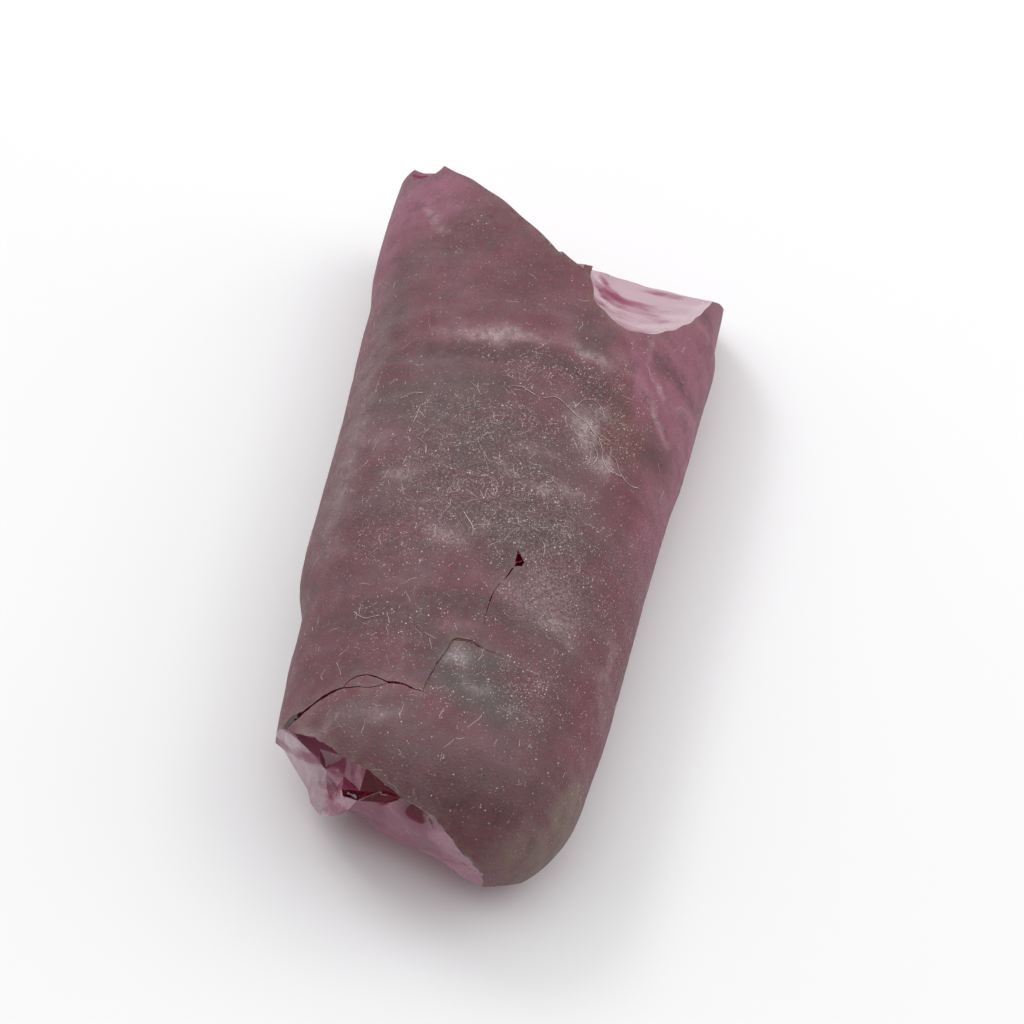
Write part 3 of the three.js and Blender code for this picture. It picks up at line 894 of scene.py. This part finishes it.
class Nodes:
    """Adds and links the nodes of one tree."""

    def __init__(self, tree):
        self.tree = tree
        tree.nodes.clear()

    def add(self, kind, inputs=None, **settings):
        """A node of a kind, with its settings, and its inputs set to values or linked to sockets."""
        node = self.tree.nodes.new(kind)
        for key, value in settings.items():
            setattr(node, key, value)
        for key, value in (inputs or {}).items():
            self.put(node.inputs[key], value)
        return node

    def put(self, socket, value):
        """Links a socket or sets its value."""
        if isinstance(value, bpy.types.NodeSocket):
            self.tree.links.new(value, socket)
        else:
            socket.default_value = value

    def first(self, kind, inputs=None, **settings):
        """The first output of a new node."""
        return self.add(kind, inputs, **settings).outputs[0]

    def math(self, operation, *values):
        """A sum on numbers."""
        return self.first("ShaderNodeMath", dict(enumerate(values)), operation=operation)

    def times(self, a, b):
        """One number times another."""
        return self.math("MULTIPLY", a, b)

    def plus(self, a, b):
        """One number added to another."""
        return self.math("ADD", a, b)

    def vector(self, operation, *values):
        """A sum on vectors."""
        return self.first("ShaderNodeVectorMath", dict(enumerate(values)), operation=operation)

    def attribute(self, name):
        """One of the mesh's own numbers."""
        return self.add("ShaderNodeAttribute", attribute_name=name).outputs["Fac"]

    def ramp(self, value, low, high, to_low=0.0, to_high=1.0):
        """A smooth step of a value between low and high."""
        inputs = {"Value": value, "From Min": low, "From Max": high, "To Min": to_low, "To Max": to_high}
        return self.first("ShaderNodeMapRange", inputs, interpolation_type="SMOOTHSTEP")

    def noise(self, place, size, detail=3.0, rough=0.55):
        """Noise from 0 to 1 with lumps of about the given size."""
        inputs = {"Vector": place, "Scale": 1 / size, "Detail": detail, "Roughness": rough}
        return self.add("ShaderNodeTexNoise", inputs).outputs["Fac"]

    def cells(self, place, size):
        """Scattered cells of about the given size."""
        return self.add("ShaderNodeTexVoronoi", {"Vector": place, "Scale": 1 / size}).outputs

    def blend(self, share, a, b, mode="MIX"):
        """One colour laid over another."""
        node = self.add("ShaderNodeMix", data_type="RGBA", blend_type=mode)
        self.put(node.inputs[0], share)
        self.put(node.inputs[6], a if isinstance(a, bpy.types.NodeSocket) else (*a, 1))
        self.put(node.inputs[7], b if isinstance(b, bpy.types.NodeSocket) else (*b, 1))
        return node.outputs[2]

    def between(self, share, a, b):
        """A number between two others."""
        node = self.add("ShaderNodeMix", data_type="FLOAT")
        for index, value in ((0, share), (2, a), (3, b)):
            self.put(node.inputs[index], value)
        return node.outputs[0]


def new_material(name):
    material = bpy.data.materials.new(name)
    material.use_nodes = True
    return material, Nodes(material.node_tree)


def ruby_material(settings):
    """Clear ruby that drinks green light, under a skin of frost where it isn't broken."""
    material, n = new_material("ruby_frosted")
    object_place = n.add("ShaderNodeTexCoord").outputs["Object"]
    place = n.vector("SCALE", object_place)
    place.node.inputs["Scale"].default_value = 1 / MM
    skin = n.attribute("skin")
    haze = n.attribute("haze")
    rim = n.attribute("rim")
    growth = n.attribute("growth")
    split = n.add("ShaderNodeSeparateXYZ", {0: place})
    across = n.times(split.outputs["X"], 0.22)
    upward = n.times(split.outputs["Z"], 0.3)
    banded = n.first("ShaderNodeCombineXYZ", {"X": across, "Y": growth, "Z": upward})

    # The skin's colour.
    broad = n.noise(place, 3.2, 4)
    fine = n.noise(place, 0.7, 4, 0.65)
    bands = n.noise(banded, 1.3, 4, 0.6)
    colour = n.blend(n.ramp(broad, 0.38, 0.62), settings.mauve, settings.wine)
    for kind, tint, reach in (
        ("wine", settings.wine, 0.9), ("pink", settings.pink, 0.9), ("grey", settings.grey, 0.85),
        ("slate", settings.slate, 0.95), ("brown", settings.brown, 0.85), ("tan", settings.tan, 0.8),
    ):
        amount = n.times(n.attribute(kind), n.ramp(fine, 0.1, 0.6, 0.55, 1.0))
        colour = n.blend(n.times(amount, reach), colour, tint)
    colour = n.blend(n.ramp(bands, 0.5, 0.75, 0, 0.14), colour, settings.frost)
    colour = n.blend(n.ramp(bands, 0.5, 0.3, 0, 0.45), colour, settings.wine)
    powder = n.ramp(n.noise(place, 0.35, 4, 0.7), 0.3, 0.7, 0.35, 1.0)
    # whitish dust where the pale zones lie, and on the left flank painted sheen
    dust_and_painted_sheen = n.times(n.attribute("pale"), powder)
    colour = n.blend(n.times(dust_and_painted_sheen, 0.75), colour, settings.frost)

    # Mottling, dark pores and white salt.
    mottle = n.noise(place, 1.0, 6, 0.72)
    colour = n.blend(n.ramp(mottle, 0.52, 0.7, 0, 0.17), colour, settings.frost)
    colour = n.blend(n.ramp(mottle, 0.52, 0.34, 0, 0.42), colour, settings.wine_dark)
    salt = n.attribute("salt")
    pores = n.ramp(n.cells(place, 0.14)["Distance"], 0.16, 0.34, 1, 0)
    pores = n.times(pores, n.ramp(salt, 0, 0.7, 0.35, 0.8))
    colour = n.blend(pores, colour, settings.wine_dark)
    grit = n.noise(place, 0.13, 2, 0.7)
    gritty = n.ramp(salt, 0.1, 0.8)
    for low, high, most, tint in ((0.55, 0.66, 0.32, settings.salt), (0.48, 0.36, 0.75, settings.wine_dark)):
        colour = n.blend(n.times(n.ramp(grit, low, high, 0, most), gritty), colour, tint)
    patchy = n.ramp(n.noise(place, 1.1, 3, 0.6), 0.38, 0.66)
    wanted = n.plus(n.times(n.times(salt, patchy), 0.8), 0.05)
    grain = 0.0
    for size, share in ((0.085, 0.8), (0.14, 0.35)):
        salty = n.cells(place, size)
        chance = n.add("ShaderNodeSeparateColor", {0: salty["Color"]})
        excess = n.math("SUBTRACT", n.times(wanted, share), chance.outputs[0])
        bright = n.times(n.ramp(excess, -0.02, 0.02), n.ramp(chance.outputs[1], 0, 1, 0.35, 1.0))
        dot = n.ramp(salty["Distance"], 0.5, 0.22)
        grain = n.math("MAXIMUM", grain, n.times(dot, bright))
    colour = n.blend(n.times(grain, 0.85), colour, settings.salt)
    worn = n.times(rim, n.ramp(fine, 0.4, 0.6))
    colour = n.blend(n.times(worn, 0.5), colour, settings.tan)

    # Glass where it is broken, with milky haze in places; on the scoop and the near ledge the pale haze is
    # partly painted reflection.
    streaked = n.vector("MULTIPLY", place, (0.25, 1.2, 1.0))
    milky = n.ramp(n.noise(streaked, 1.5, 4, 0.5), 0.3, 0.55, 0.6, 1.1)
    haze_and_painted_reflection_share = n.math("MINIMUM", n.times(haze, milky), 1.0)
    milk_and_painted_reflection = n.blend(n.ramp(haze_and_painted_reflection_share, 0.35, 0.85), settings.blush, settings.haze)
    glass = n.blend(n.math("MINIMUM", n.times(haze_and_painted_reflection_share, 6.0), 1.0), (1, 1, 1), milk_and_painted_reflection)
    base = n.blend(skin, glass, colour)
    skin_clear = n.between(n.attribute("wine"), 0.62, 0.82)
    skin_clear = n.between(n.math("MAXIMUM", dust_and_painted_sheen, grain), skin_clear, 0.25)
    clear = n.between(skin, n.math("SUBTRACT", 1.0, n.times(haze_and_painted_reflection_share, 0.85)), skin_clear)
    skin_rough = n.ramp(n.noise(place, 0.5, 3), 0.3, 0.7, 0.55, 0.72)
    glass_rough = n.plus(0.035, n.times(haze_and_painted_reflection_share, 0.3))
    rough = n.between(skin, glass_rough, skin_rough)

    # Fine relief.
    frost = n.plus(n.noise(place, 0.12, 2, 0.6), n.times(n.cells(place, 0.2)["Distance"], 0.5))
    frost = n.plus(frost, n.times(grain, 0.6))
    glass_relief = n.times(n.noise(place, 0.8, 3, 0.5), 0.6)
    relief = n.between(skin, glass_relief, frost)
    bump = n.add("ShaderNodeBump", {"Height": relief, "Strength": 0.55, "Distance": 0.05 * MM})

    shader = n.add(
        "ShaderNodeBsdfPrincipled",
        {"Base Color": base, "Roughness": rough, "Transmission Weight": clear, "Normal": bump.outputs[0]},
    )
    shader.inputs["IOR"].default_value = RUBY_IOR
    shader.inputs["Specular IOR Level"].default_value = RUBY_SPECULAR
    volume = n.add("ShaderNodeVolumeAbsorption")
    volume.inputs["Color"].default_value = (*settings.body, 1)
    volume.inputs["Density"].default_value = settings.density
    out = n.add("ShaderNodeOutputMaterial", {"Surface": shader.outputs[0], "Volume": volume.outputs[0]})
    out.is_active_output = True
    return material


def fibre_material():
    """Pale lint."""
    material, n = new_material("lint_pale")
    place = n.add("ShaderNodeTexCoord").outputs["Object"]
    tone = n.noise(place, 1.0 * MM, 2)
    base = n.blend(n.ramp(tone, 0.35, 0.65), (0.36, 0.28, 0.25), (0.7, 0.64, 0.6))
    shader = n.add("ShaderNodeBsdfPrincipled", {"Base Color": base, "Roughness": 0.6})
    n.add("ShaderNodeOutputMaterial", {"Surface": shader.outputs[0]})
    return material


def floor_material(settings):
    """A pale matt floor."""
    material, n = new_material("floor_pale")
    place = n.add("ShaderNodeTexCoord").outputs["Object"]
    tone = n.ramp(n.noise(place, 0.09, 2), 0.3, 0.7)
    base = n.blend(tone, settings.floor, [v * 0.985 for v in settings.floor])
    shader = n.add("ShaderNodeBsdfPrincipled", {"Base Color": base, "Roughness": 0.8})
    shader.inputs["Specular IOR Level"].default_value = 0.2
    n.add("ShaderNodeOutputMaterial", {"Surface": shader.outputs[0]})
    return material


# ---- the pieces


def grow_crystal(settings):
    """The crystal in its drawing's frame."""
    crystal = rod(settings)
    split_underside(crystal)
    break_far_end(crystal)
    break_near_end(crystal)
    combine(crystal, patch_away(), "DIFFERENCE")
    for k, (path, start, end) in enumerate(CRACKS):
        combine(crystal, crack_blade(path, start, end, 100 + 3 * k), "DIFFERENCE")
    combine(crystal, chip_away(), "DIFFERENCE")
    return crystal


def into_row(mesh):
    """Puts a mesh drawn in millimetres into the row's frame, inside the CAD model's box."""
    points = points_of(mesh)
    points -= (*DRAWN_MIDDLE, 0)
    points *= MM
    points[:, :2] += ((BOX_LOW + BOX_HIGH) / 2)[:2]
    points[:, 2] += BOX_LOW[2]
    move_points(mesh, points)


def finish_piece(piece, name, material, node=None):
    """Names a piece, gives it its material and ties it to the model, for a CAD node if one is named."""
    piece.name = name
    piece.data.name = name
    piece.data.materials.clear()
    piece.data.materials.append(material)
    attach(piece, "root")
    if node:
        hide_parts(node)


THREAD_SHARE = 1.6  # a placed thread's thickness, for 1 of a strewn fibre's
# Threads that lie on the skin: (x, y) points along each.
THREADS = (
    ((3.45, 5.05), (3.85, 5.75), (4.5, 5.95), (5.05, 5.4), (5.25, 4.75)),
    ((1.6, 5.2), (2.3, 5.45), (3.1, 5.0), (3.7, 4.6), (4.3, 4.35)),
    ((4.2, 4.5), (4.75, 3.9), (5.1, 3.6), (5.6, 3.3)),
    ((5.2, 3.5), (5.5, 2.9), (5.6, 2.3), (6.1, 1.7), (6.8, 1.75)),
    ((5.9, 2.9), (6.4, 2.5), (6.7, 1.9), (7.4, 1.55), (7.9, 1.75)),
    ((4.9, 3.0), (5.3, 2.4), (5.2, 1.7)),
    ((-0.6, 5.6), (0.3, 5.7), (1.1, 5.35)),
    ((-6.6, 4.2), (-5.9, 4.6), (-5.3, 4.55)),
    ((-2.9, 3.6), (-2.3, 3.9), (-1.7, 3.7)),
    ((-4.9, 1.2), (-4.3, 0.7), (-4.2, 0.1)),
    ((-5.9, -10.6), (-5.2, -11.0), (-4.4, -10.8)),
    ((-1.2, -3.6), (-0.5, -4.4), (-0.4, -5.0)),
    ((2.9, -4.0), (3.6, -4.6), (3.7, -5.4)),
)
LINT_RUN = (-21, 15)  # lint lies only between these places along the rod
LINT_EVERYWHERE = 0.05
LINT = (  # where lint lies thickest: as the zones, without their kinds
    ((4.5, 4.2), (1.0, 1.4), 0, 1.0),
    ((5.7, 2.6), (0.8, 1.1), 0, 0.8),
    ((0.5, 4.8), (3.6, 1.8), 0, 0.4),
    ((3.7, -0.6), (1.8, 0.8), 0, 0.5),
    ((-5.0, -10.4), (3.4, 2.0), 0, 0.25),
    ((-4.0, 1.0), (4.0, 3.0), 0, 0.3),
    ((0.6, -3.4), (4.6, 3.0), 0, 0.3),
    ((-1.6, 9.0), (4.0, 1.2), 0, 0.3),
    ((-3.2, -17.0), (4.0, 1.6), 0, 0.25),
)


def fibre_tree(material):
    """Fibres strewn over a surface where its lint attribute says, lying on it and bending along it."""
    tree = bpy.data.node_groups.new("lint", "GeometryNodeTree")
    tree.is_modifier = True
    face = tree.interface
    face.new_socket("Geometry", in_out="INPUT", socket_type="NodeSocketGeometry")
    for name in ("Density", "Length", "Thickness", "Bend", "Fleck density", "Fleck size"):
        face.new_socket(name, in_out="INPUT", socket_type="NodeSocketFloat")
    face.new_socket("Seed", in_out="INPUT", socket_type="NodeSocketInt")
    face.new_socket("Geometry", in_out="OUTPUT", socket_type="NodeSocketGeometry")
    n = Nodes(tree)
    given = n.add("NodeGroupInput").outputs
    lint = n.add("GeometryNodeInputNamedAttribute", {"Name": "lint"}).outputs["Attribute"]
    seed = given["Seed"]
    strewn = n.add(
        "GeometryNodeDistributePointsOnFaces",
        {"Mesh": given["Geometry"], "Density": n.times(lint, given["Density"]), "Seed": seed},
    )
    line = n.add("GeometryNodeCurvePrimitiveLine", {"Start": (-0.5, 0, 0), "End": (0.5, 0, 0)})
    strand = n.add("GeometryNodeResampleCurve", {"Curve": line.outputs[0], "Count": 7})
    turn = n.add(
        "FunctionNodeRandomValue",
        {"Min": (-0.2, -0.2, 0), "Max": (0.2, 0.2, math.tau), "Seed": n.plus(seed, 1)},
        data_type="FLOAT_VECTOR",
    ).outputs[0]
    size = n.add("FunctionNodeRandomValue", {"Seed": n.plus(seed, 2)}, data_type="FLOAT").outputs[1]
    size = n.times(n.plus(0.3, n.math("POWER", size, 2.5)), given["Length"])
    placed = n.add(
        "GeometryNodeInstanceOnPoints",
        {"Points": strewn.outputs["Points"], "Instance": strand.outputs[0], "Rotation": turn, "Scale": size},
    )
    real = n.first("GeometryNodeRealizeInstances", {0: placed.outputs[0]})
    here = n.first("GeometryNodeInputPosition")
    waves = n.add("ShaderNodeTexNoise", {"Vector": here, "Scale": 1100.0, "Detail": 1.0}).outputs["Color"]
    sway = n.vector("MULTIPLY", n.vector("SUBTRACT", waves, (0.5, 0.5, 0.5)), (1, 1, 0))
    reach = n.first("ShaderNodeCombineXYZ", {axis: given["Bend"] for axis in "XYZ"})
    sway = n.vector("MULTIPLY", sway, reach)
    bent = n.first("GeometryNodeSetPosition", {"Geometry": real, "Offset": sway})
    near = n.add("GeometryNodeProximity", {"Geometry": given["Geometry"]}, target_element="FACES")
    place = near.outputs["Position"]
    laid = n.first("GeometryNodeSetPosition", {"Geometry": bent, "Position": place})
    profile = n.add("GeometryNodeCurvePrimitiveCircle", {"Resolution": 4, "Radius": given["Thickness"]})
    tube = n.first(
        "GeometryNodeCurveToMesh", {"Curve": laid, "Profile Curve": profile.outputs[0], "Fill Caps": True}
    )
    dots = n.add(
        "GeometryNodeDistributePointsOnFaces",
        {
            "Mesh": given["Geometry"], "Density": n.times(lint, given["Fleck density"]),
            "Seed": n.plus(seed, 3),
        },
    )
    crumb = n.first("GeometryNodeMeshIcoSphere", {"Radius": 0.5, "Subdivisions": 1})
    crumb = n.first("GeometryNodeTransform", {"Geometry": crumb, "Scale": (1.0, 0.6, 0.4)})
    size = n.add("FunctionNodeRandomValue", {"Seed": n.plus(seed, 4)}, data_type="FLOAT").outputs[1]
    size = n.times(n.plus(0.35, n.math("POWER", size, 3.0)), given["Fleck size"])
    turn = n.add(
        "FunctionNodeRandomValue", {"Max": (math.tau, math.tau, math.tau), "Seed": n.plus(seed, 5)},
        data_type="FLOAT_VECTOR",
    ).outputs[0]
    flecks = n.add(
        "GeometryNodeInstanceOnPoints",
        {"Points": dots.outputs["Points"], "Instance": crumb, "Rotation": turn, "Scale": size},
    ).outputs[0]
    both = n.add("GeometryNodeJoinGeometry")
    for part in (flecks, tube):
        tree.links.new(part, both.inputs[0])
    joined = n.first("GeometryNodeRealizeInstances", {0: both.outputs[0]})
    finished = n.first("GeometryNodeSetMaterial", {"Geometry": joined, "Material": material})
    n.add("NodeGroupOutput", {0: finished})
    return tree


def run_tree(name, mesh, tree, inputs):
    """What a tree makes of a mesh, as a plain mesh."""
    source = bpy.data.objects.new(name, mesh)
    bpy.context.scene.collection.objects.link(source)
    step = source.modifiers.new(name, "NODES")
    step.node_group = tree
    for item in tree.interface.items_tree:
        if item.in_out == "INPUT" and item.name in inputs:
            step[item.identifier] = inputs[item.name]
    made = bpy.data.meshes.new_from_object(source.evaluated_get(bpy.context.evaluated_depsgraph_get()))
    source.modifiers.clear()
    source.data = made
    return source


def lay_threads(lint, thickness):
    """Adds the placed threads to the lint, as thin tubes on the skin."""
    curve = bpy.data.curves.new("threads", "CURVE")
    curve.dimensions = "3D"
    curve.bevel_depth = thickness
    curve.bevel_resolution = 1
    curve.use_fill_caps = True
    middle = (BOX_LOW + BOX_HIGH) / 2
    for k, thread in enumerate(THREADS):
        line = smooth_path(thread, 22)
        spline = curve.splines.new("POLY")
        spline.points.add(len(line) - 1)
        waves = rough_noise(np.insert(line, 2, 9 * k, axis=1), 0.6, 300 + k, 2)
        for j, (x, y) in enumerate(line):
            at, normal = on_skin(x, y + 0.08 * waves[j])
            at = at + normal * 0.03
            place = (at - (*DRAWN_MIDDLE, 0)) * MM + (middle[0], middle[1], BOX_LOW[2])
            place[2] = min(place[2], BOX_HIGH[2] - 1.5 * thickness)
            spline.points[j].co = (*place, 1)
    holder = bpy.data.objects.new("threads", curve)
    bpy.context.scene.collection.objects.link(holder)
    threads = bpy.data.meshes.new_from_object(holder.evaluated_get(bpy.context.evaluated_depsgraph_get()))
    bpy.data.objects.remove(holder)
    work = bmesh.new()
    work.from_mesh(lint.data)
    work.from_mesh(threads)
    work.to_mesh(lint.data)
    work.free()


# ---- settings


def number_setting(name, description, default, **more):
    """A number that a user can change."""
    return bpy.props.FloatProperty(name=name, description=description, default=default, **more)


def colour_setting(name, description, default):
    """A colour that a user can change."""
    return bpy.props.FloatVectorProperty(
        name=name, description=description, default=default, subtype="COLOR", min=0, max=1
    )


class CrystalSettings(bpy.types.PropertyGroup):
    """The crystal's fineness and colours"""

    fineness: number_setting(
        "Fineness", "Spacing of the skin's points, in drawing millimetres", 0.17, min=0.1
    )
    relief: number_setting("Relief", "How strongly the skin is dented and ribbed", 1.0, min=0, max=2)
    density: number_setting("Density", "How strongly the stone absorbs, for each metre", 450.0, min=0)
    body: colour_setting("Body", "Colour that the stone lets through", (0.9, 0.05, 0.675))
    mauve: colour_setting("Mauve frost", "Most of the skin", (0.34, 0.11, 0.16))
    wine: colour_setting("Wine", "Skin where the frost is thin", (0.3, 0.05, 0.085))
    wine_dark: colour_setting("Pores", "Dark pores in the frost", (0.05, 0.012, 0.02))
    # also used for the painted sheen strip on the left flank
    grey: colour_setting("Grey frost", "Skin where the frost is thick", (0.178, 0.1, 0.106))
    slate: colour_setting("Slate", "The shed patch", (0.135, 0.106, 0.107))
    pink: colour_setting("Pink", "Clearer stone at the far corners", (0.6, 0.19, 0.32))
    brown: colour_setting("Brown", "The stain on the right", (0.27, 0.065, 0.05))
    tan: colour_setting("Tan", "Worn and stained rims", (0.36, 0.26, 0.19))
    # also used for the painted sheen strip on the left flank
    frost: colour_setting("White frost", "Whitish blotches", (0.5, 0.43, 0.44))
    salt: colour_setting("Salt", "Fine white grains", (0.75, 0.68, 0.62))
    # the breaks' milky colours, which on the scoop and the near ledge partly stand in for painted reflection
    haze: colour_setting("Haze", "Milkiest parts of the breaks", (0.68, 0.49, 0.55))
    blush: colour_setting("Blush", "Slightly milky parts of the breaks", (0.58, 0.09, 0.25))


class LintSettings(bpy.types.PropertyGroup):
    """The lint on the skin"""

    density: number_setting("Density", "Fibres for each square metre where lint is thickest", 4.0e6, min=0)
    length: number_setting("Length", "A long fibre's length", 0.0009, min=0, unit="LENGTH")
    thickness: number_setting("Thickness", "A fibre's radius", 0.0000095, min=0, unit="LENGTH")
    bend: number_setting("Bend", "How far a fibre strays from straight", 0.0008, min=0, unit="LENGTH")
    fleck_density: number_setting(
        "Fleck density", "Flecks for each square metre where lint is thickest", 8.0e6, min=0
    )
    fleck_size: number_setting("Fleck size", "A large fleck's length", 0.00009, min=0, unit="LENGTH")
    seed: bpy.props.IntProperty(name="Seed", description="Another throw of the fibres", default=7)


class StageSettings(bpy.types.PropertyGroup):
    """The floor, the lights and the camera"""

    floor: colour_setting("Floor", "The floor's colour", (0.87, 0.87, 0.88))
    sky: number_setting("Sky", "Brightness of the white room all round", 0.26, min=0)
    top: number_setting("Top light", "Power of the broad light overhead", 8.9, min=0, unit="POWER")
    side: number_setting("Side light", "Power of the broad light on the left", 2.4, min=0, unit="POWER")
    fill: number_setting("Fill light", "Power of the soft light on the right", 1.6, min=0, unit="POWER")
    spark: number_setting(
        "Spark light", "Power of the small light behind on the left", 0.6, min=0, unit="POWER"
    )
    elevation: number_setting(
        "Elevation", "How high the camera looks from", math.radians(55), subtype="ANGLE"
    )
    azimuth: number_setting("Azimuth", "How far round the camera stands", math.radians(11.5), subtype="ANGLE")
    distance: number_setting("Distance", "From the camera to its aim", 0.2, min=0.05, unit="LENGTH")
    lens: number_setting("Lens", "Focal length", 121.3, min=20, unit="CAMERA")


# ---- operators


class RUBY_OT_crystal(bpy.types.Operator):
    """Grow the rod, break its ends and finish its skin"""

    bl_idname = "ruby.crystal"
    bl_label = "Crystal"

    def execute(self, context):
        settings = context.scene.ruby_crystal
        crystal = grow_crystal(settings)
        mesh = crystal.data
        colour_zones(mesh, points_of(mesh))
        mesh.shade_smooth()
        mesh.set_sharp_from_angle(angle=SHARP_ANGLE)
        into_row(mesh)
        finish_piece(crystal, "crystal", ruby_material(settings), NODE)
        return {"FINISHED"}


class RUBY_OT_lint(bpy.types.Operator):
    """Strew the lint over the skin"""

    bl_idname = "ruby.lint"
    bl_label = "Lint"

    def execute(self, context):
        settings = context.scene.ruby_lint
        crystal = bpy.data.objects.get("crystal")
        if crystal is None:
            raise RuntimeError("make the crystal first")
        material = fibre_material()
        inputs = {
            "Density": settings.density, "Length": settings.length, "Thickness": settings.thickness,
            "Bend": settings.bend, "Seed": settings.seed, "Fleck density": settings.fleck_density,
            "Fleck size": settings.fleck_size,
        }
        lint = run_tree("lint", crystal.data.copy(), fibre_tree(material), inputs)
        lay_threads(lint, settings.thickness * THREAD_SHARE)
        move_points(lint.data, points_of(lint.data))
        finish_piece(lint, "lint", material)
        return {"FINISHED"}


class RUBY_OT_stage(bpy.types.Operator):
    """Set the floor, the lights and the camera"""

    bl_idname = "ruby.stage"
    bl_label = "Stage"

    def execute(self, context):
        settings = context.scene.ruby_stage
        scene = context.scene
        mesh = bpy.data.meshes.new("floor")
        low = float(BOX_LOW[2]) - FLOOR_GAP
        corners = [(x * FLOOR_REACH, y * FLOOR_REACH, low) for x, y in ((-1, -1), (1, -1), (1, 1), (-1, 1))]
        mesh.from_pydata(corners, [], [(0, 1, 2, 3)])
        mesh.materials.append(floor_material(settings))
        floor = bpy.data.objects.new("floor", mesh)
        scene.collection.objects.link(floor)

        world = bpy.data.worlds.new("room")
        world.use_nodes = True
        world.node_tree.nodes["Background"].inputs["Color"].default_value = (1, 1, 1, 1)
        world.node_tree.nodes["Background"].inputs["Strength"].default_value = settings.sky
        scene.world = world

        middle = (BOX_LOW + BOX_HIGH) / 2
        for name, (size, towards, distance) in LIGHTS.items():
            add_light(scene, name, getattr(settings, name), size, middle, towards, distance)

        camera = bpy.data.cameras.new("camera")
        camera.lens = settings.lens
        camera.sensor_width = 36
        camera.clip_start = 0.01
        a, e = settings.azimuth, settings.elevation
        back = Vector((math.sin(a) * math.cos(e), -math.cos(a) * math.cos(e), math.sin(e)))
        aim = Vector(middle) + Vector(AIM_OFFSET) * MM
        camera_object = bpy.data.objects.new("camera", camera)
        camera_object.location = aim + back * settings.distance
        camera_object.rotation_euler = (-back).to_track_quat("-Z", "Y").to_euler()
        scene.collection.objects.link(camera_object)
        scene.camera = camera_object
        scene.view_settings.view_transform = "Standard"
        return {"FINISHED"}


def add_light(scene, name, power, size, middle, towards, distance):
    """A soft square light that looks at the crystal from a direction."""
    light = bpy.data.lights.new(name, "AREA")
    light.energy = power
    light.size = size
    way = Vector(towards).normalized()
    lamp = bpy.data.objects.new(name, light)
    lamp.location = Vector(middle) + way * distance
    lamp.rotation_euler = (-way).to_track_quat("-Z", "Y").to_euler()
    scene.collection.objects.link(lamp)


class RUBY_PT_panel(bpy.types.Panel):
    """Lists the crystal's operators and settings"""

    bl_idname = "RUBY_PT_panel"
    bl_label = "Raw ruby"
    bl_space_type = "VIEW_3D"
    bl_region_type = "UI"
    bl_category = "Ruby"

    def draw(self, context):
        layout = self.layout
        for name in ("crystal", "lint", "stage"):
            settings = getattr(context.scene, "ruby_" + name)
            for key in settings.__annotations__:
                layout.prop(settings, key)
            layout.operator("ruby." + name)


CLASSES = (
    CrystalSettings, LintSettings, StageSettings, RUBY_OT_crystal, RUBY_OT_lint, RUBY_OT_stage, RUBY_PT_panel,
)


def register():
    for cls in CLASSES:
        bpy.utils.register_class(cls)
    bpy.types.Scene.ruby_crystal = bpy.props.PointerProperty(type=CrystalSettings)
    bpy.types.Scene.ruby_lint = bpy.props.PointerProperty(type=LintSettings)
    bpy.types.Scene.ruby_stage = bpy.props.PointerProperty(type=StageSettings)


def unregister():
    del bpy.types.Scene.ruby_crystal
    del bpy.types.Scene.ruby_lint
    del bpy.types.Scene.ruby_stage
    for cls in reversed(CLASSES):
        bpy.utils.unregister_class(cls)


def main():
    register()
    bpy.ops.ruby.stage()
    bpy.ops.ruby.crystal()
    bpy.ops.ruby.lint()


if __name__ == "__main__":
    main()
